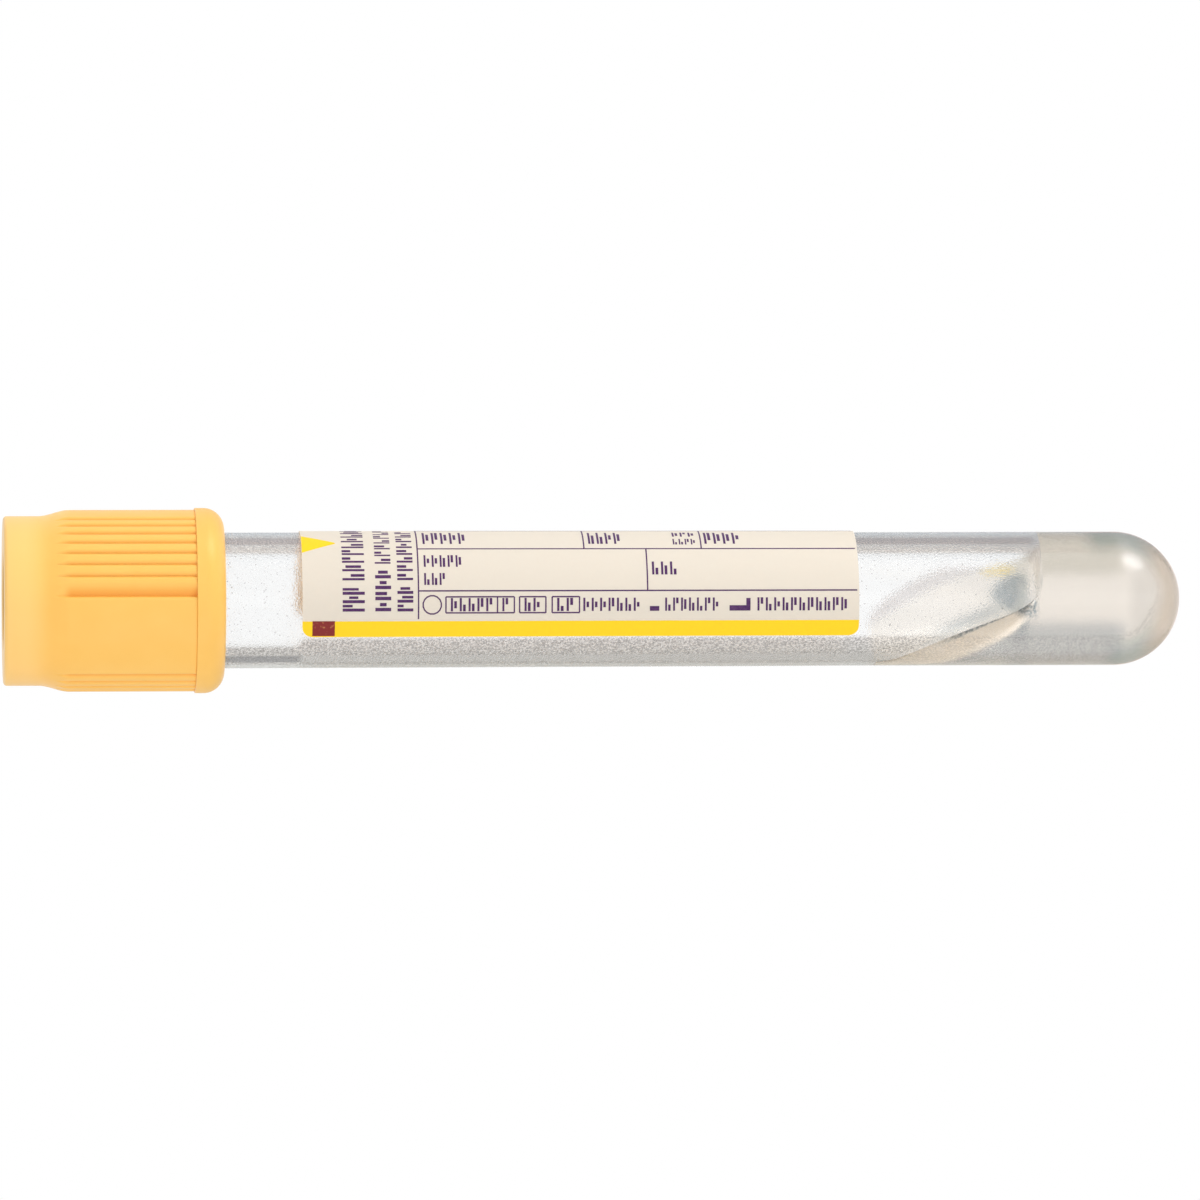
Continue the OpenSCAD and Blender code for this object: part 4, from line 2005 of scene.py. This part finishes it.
@dataclass
class Studio:
    """Camera, lamps, world and floor."""

    distance: float = 956.0
    elevation: float = -4.5
    roll: float = -0.144
    aim_x: float = 0.043
    aim_z: float = 56.965
    lens_per_mm: float = 0.3139
    floor_size: float = 6000.0
    floor_gap: float = 0.05
    ambient: float = 0.8
    inside: float = 1.5
    key_way: Vector = field(default_factory=lambda: Vector((-0.867, -0.217, 0.449)))
    key_watts: float = 2.0
    glint: Point = (20.0, 3.0)
    glint_level: float = 4.0
    fill_watts: float = 1.3
    bounces: int = 32
    front: Colour = (0.83, 0.83, 0.83)
    cards: tuple[SideCard, SideCard] = (SideCard((0.5, 0.55, 0.6)), SideCard((0.65, 0.65, 0.6)))
    card_foot: Point = (0.0, 2.0)
    card_top: Point = (35.0, 45.0)
    floor: Finish = field(default_factory=StudioFloor)

    def build_camera(self) -> None:
        """Looks along +Y with the axis across the picture and the round end to the right."""
        camera = bpy.data.objects.new("camera", bpy.data.cameras.new("camera"))
        bpy.context.scene.collection.objects.link(camera)
        rise = math.radians(self.elevation)
        back = Vector((0, -math.cos(rise), math.sin(rise)))
        right = Vector((0, math.sin(rise), math.cos(rise)))
        up = back.cross(right)
        turn = Matrix.Rotation(math.radians(self.roll), 3, back)
        right, up = turn @ right, turn @ up
        facing = Matrix((right, up, back)).transposed().to_4x4()
        aim = Vector((self.aim_x, 0, self.aim_z)) * MM
        camera.matrix_world = Matrix.Translation(aim + back * self.distance * MM) @ facing
        camera.data.sensor_width = 36
        camera.data.lens = self.lens_per_mm * self.distance
        camera.data.clip_start, camera.data.clip_end = 0.01, 20
        bpy.context.scene.camera = camera

    def add_lamp(self, name: str, place: Vector, aim: Vector, size: Point, watts: float) -> None:
        """Adds a soft rectangular lamp, whose glint the world shows instead.

        Args:
            name: The lamp's name.
            place: Where it stands, in millimetres.
            aim: The point it faces.
            size: Its width and height.
            watts: Its power.
        """
        data = bpy.data.lights.new(name, "AREA")
        data.shape = "RECTANGLE"
        data.size, data.size_y = size[0] * MM, size[1] * MM
        data.energy = watts
        lamp = bpy.data.objects.new(name, data)
        bpy.context.scene.collection.objects.link(lamp)
        lamp.location = place * MM
        lamp.rotation_euler = (aim - place).to_track_quat("-Z", "Y").to_euler()
        lamp.visible_glossy = lamp.visible_transmission = False

    def build_lamps(self) -> None:
        """A large key lamp over the tube's upper side and a weak fill at the front."""
        middle = Vector((0, 0, 60))
        self.add_lamp("key", middle + self.key_way * 650, middle, (320, 320), self.key_watts)
        self.add_lamp("fill", Vector((370, -530, 120)), middle, (400, 400), self.fill_watts)

    def side_shades(self, graph: NodeGraph, angle: Field, card: SideCard) -> object:
        """What glass and gloss see on one side of the tube.

        Args:
            graph: The world's node tree.
            angle: The way's angle from straight behind, over 180 degrees.
            card: The card that stands on that side.

        Returns:
            The colour's socket.
        """
        white = (1.0, 1.0, 1.0)
        stops = (
            (card.begins[0], white), (card.begins[1], card.tone),
            (card.ends[0], card.tone), (card.ends[1], white),
            (101.0, white), (112.0, self.front), (166.0, self.front), (169.0, white),
        )
        ramp = graph.node("ShaderNodeValToRGB", {"Fac": angle})
        elements = ramp.color_ramp.elements
        elements[0].position, elements[1].position = 0.0, 1.0
        for element in elements:
            element.color = opaque(white)
        for degrees, colour in stops:
            elements.new(degrees / 180.0).color = opaque(colour)
        return ramp.outputs["Color"]

    def build_world(self) -> None:
        """Even light for the object; glass and gloss see white sides with grey between them."""
        world = bpy.data.worlds.new("studio")
        bpy.context.scene.world = world
        world.use_nodes = True
        world.node_tree.nodes.clear()
        graph = NodeGraph(world.node_tree)
        way = graph.node("ShaderNodeTexCoord").outputs["Generated"]
        parts = graph.node("ShaderNodeSeparateXYZ", {0: way})
        x, y, z = (graph.field(parts, axis) for axis in "XYZ")
        turned = graph.math("ABSOLUTE", graph.math("ARCTAN2", x, y)) / math.pi
        left, right = (self.side_shades(graph, turned, side) for side in self.cards)
        shades = graph.mix_colour(graph.math("GREATER_THAN", x, 0.0), left, right)
        foot, top = (
            [math.sin(math.radians(angle)) for angle in edge]
            for edge in (self.card_foot, self.card_top)
        )
        card = graph.smoothstep(z, *foot) * (1.0 - graph.smoothstep(z, *top))
        past_cards = max(card.ends[1] for card in self.cards) / 180.0
        shown = graph.math("MAXIMUM", card, graph.math("GREATER_THAN", turned, past_cards))
        shades = graph.mix_colour(shown, (1.0, 1.0, 1.0), shades)
        path = graph.node("ShaderNodeLightPath")
        through = graph.math(
            "MAXIMUM",
            graph.field(path, "Is Glossy Ray"),
            graph.field(path, "Is Transmission Ray"),
        )
        softened = graph.math("GREATER_THAN", graph.field(path, "Diffuse Depth"), 0.5)
        direct = graph.field(path, "Is Camera Ray")
        key = self.key_way
        near_key = x * key.x + y * key.y + z * key.z
        edge, core = (math.cos(math.radians(a)) for a in self.glint)
        glint = graph.smoothstep(near_key, edge, core) * graph.field(path, "Is Glossy Ray")
        shades = graph.mix_colour(glint, shades, (self.glint_level,) * 3)
        inner = graph.mix_colour(softened, shades, (self.inside,) * 3)
        seen = graph.mix_colour(through, (self.ambient,) * 3, inner)
        colour = graph.mix_colour(direct, seen, (1.0, 1.0, 1.0))
        background = graph.node("ShaderNodeBackground", {"Color": colour})
        output = graph.node("ShaderNodeOutputWorld")
        graph.feed(output.inputs["Surface"], background)

    def build_floor(self) -> None:
        """Makes the white sheet that the closure stands on."""
        half = self.floor_size / 2
        maker = MeshMaker()
        maker.add_grid(
            [[(x, y, -self.floor_gap) for x in (-half, half)] for y in (-half, half)],
            Joining.OPEN,
        )
        sheet = maker.make("studio_floor", [self.floor])

    def build(self) -> None:
        """Sets the whole studio up."""
        self.build_camera()
        self.build_lamps()
        self.build_world()
        self.build_floor()
        scene = bpy.context.scene
        scene.view_settings.view_transform = "Standard"
        scene.cycles.blur_glossy = 0.0
        for kind in ("max", "transmission", "glossy", "transparent_max"):
            setattr(scene.cycles, f"{kind}_bounces", self.bounces)


# ---------------------------------------------------------------- assembly


def dress_node(node: bpy.types.Object, finish: Finish) -> None:
    """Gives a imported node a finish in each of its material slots."""
    for place in node.material_slots:
        place.material = finish.material()


def report(piece: bpy.types.Object) -> None:
    """Logs a finished piece and its face count."""
    log.info("%s: %d faces", piece.name, len(piece.data.polygons))


def corners(bounds: Iterable[Vector]) -> list[list[float]]:
    """A box's two corners as plain numbers."""
    return [[float(c) for c in corner] for corner in bounds]


def main() -> None:
    """Builds the tube and its studio."""
    logging.basicConfig(level=logging.INFO, format="%(name)s: %(message)s")
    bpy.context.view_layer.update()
    form = BarrelForm.from_frame()
    Closure.from_frame().build()
    Barrel(form).build()
    gel = GelPlug(form)
    gel.build()
    GelFilm(form, gel).build()
    ActivatorCoat(form, gel).build()
    label = Label.from_frame(form)
    label.build()
    LabelPrint(label).build()
    Studio().build()


if __name__ == "__main__":
    main()
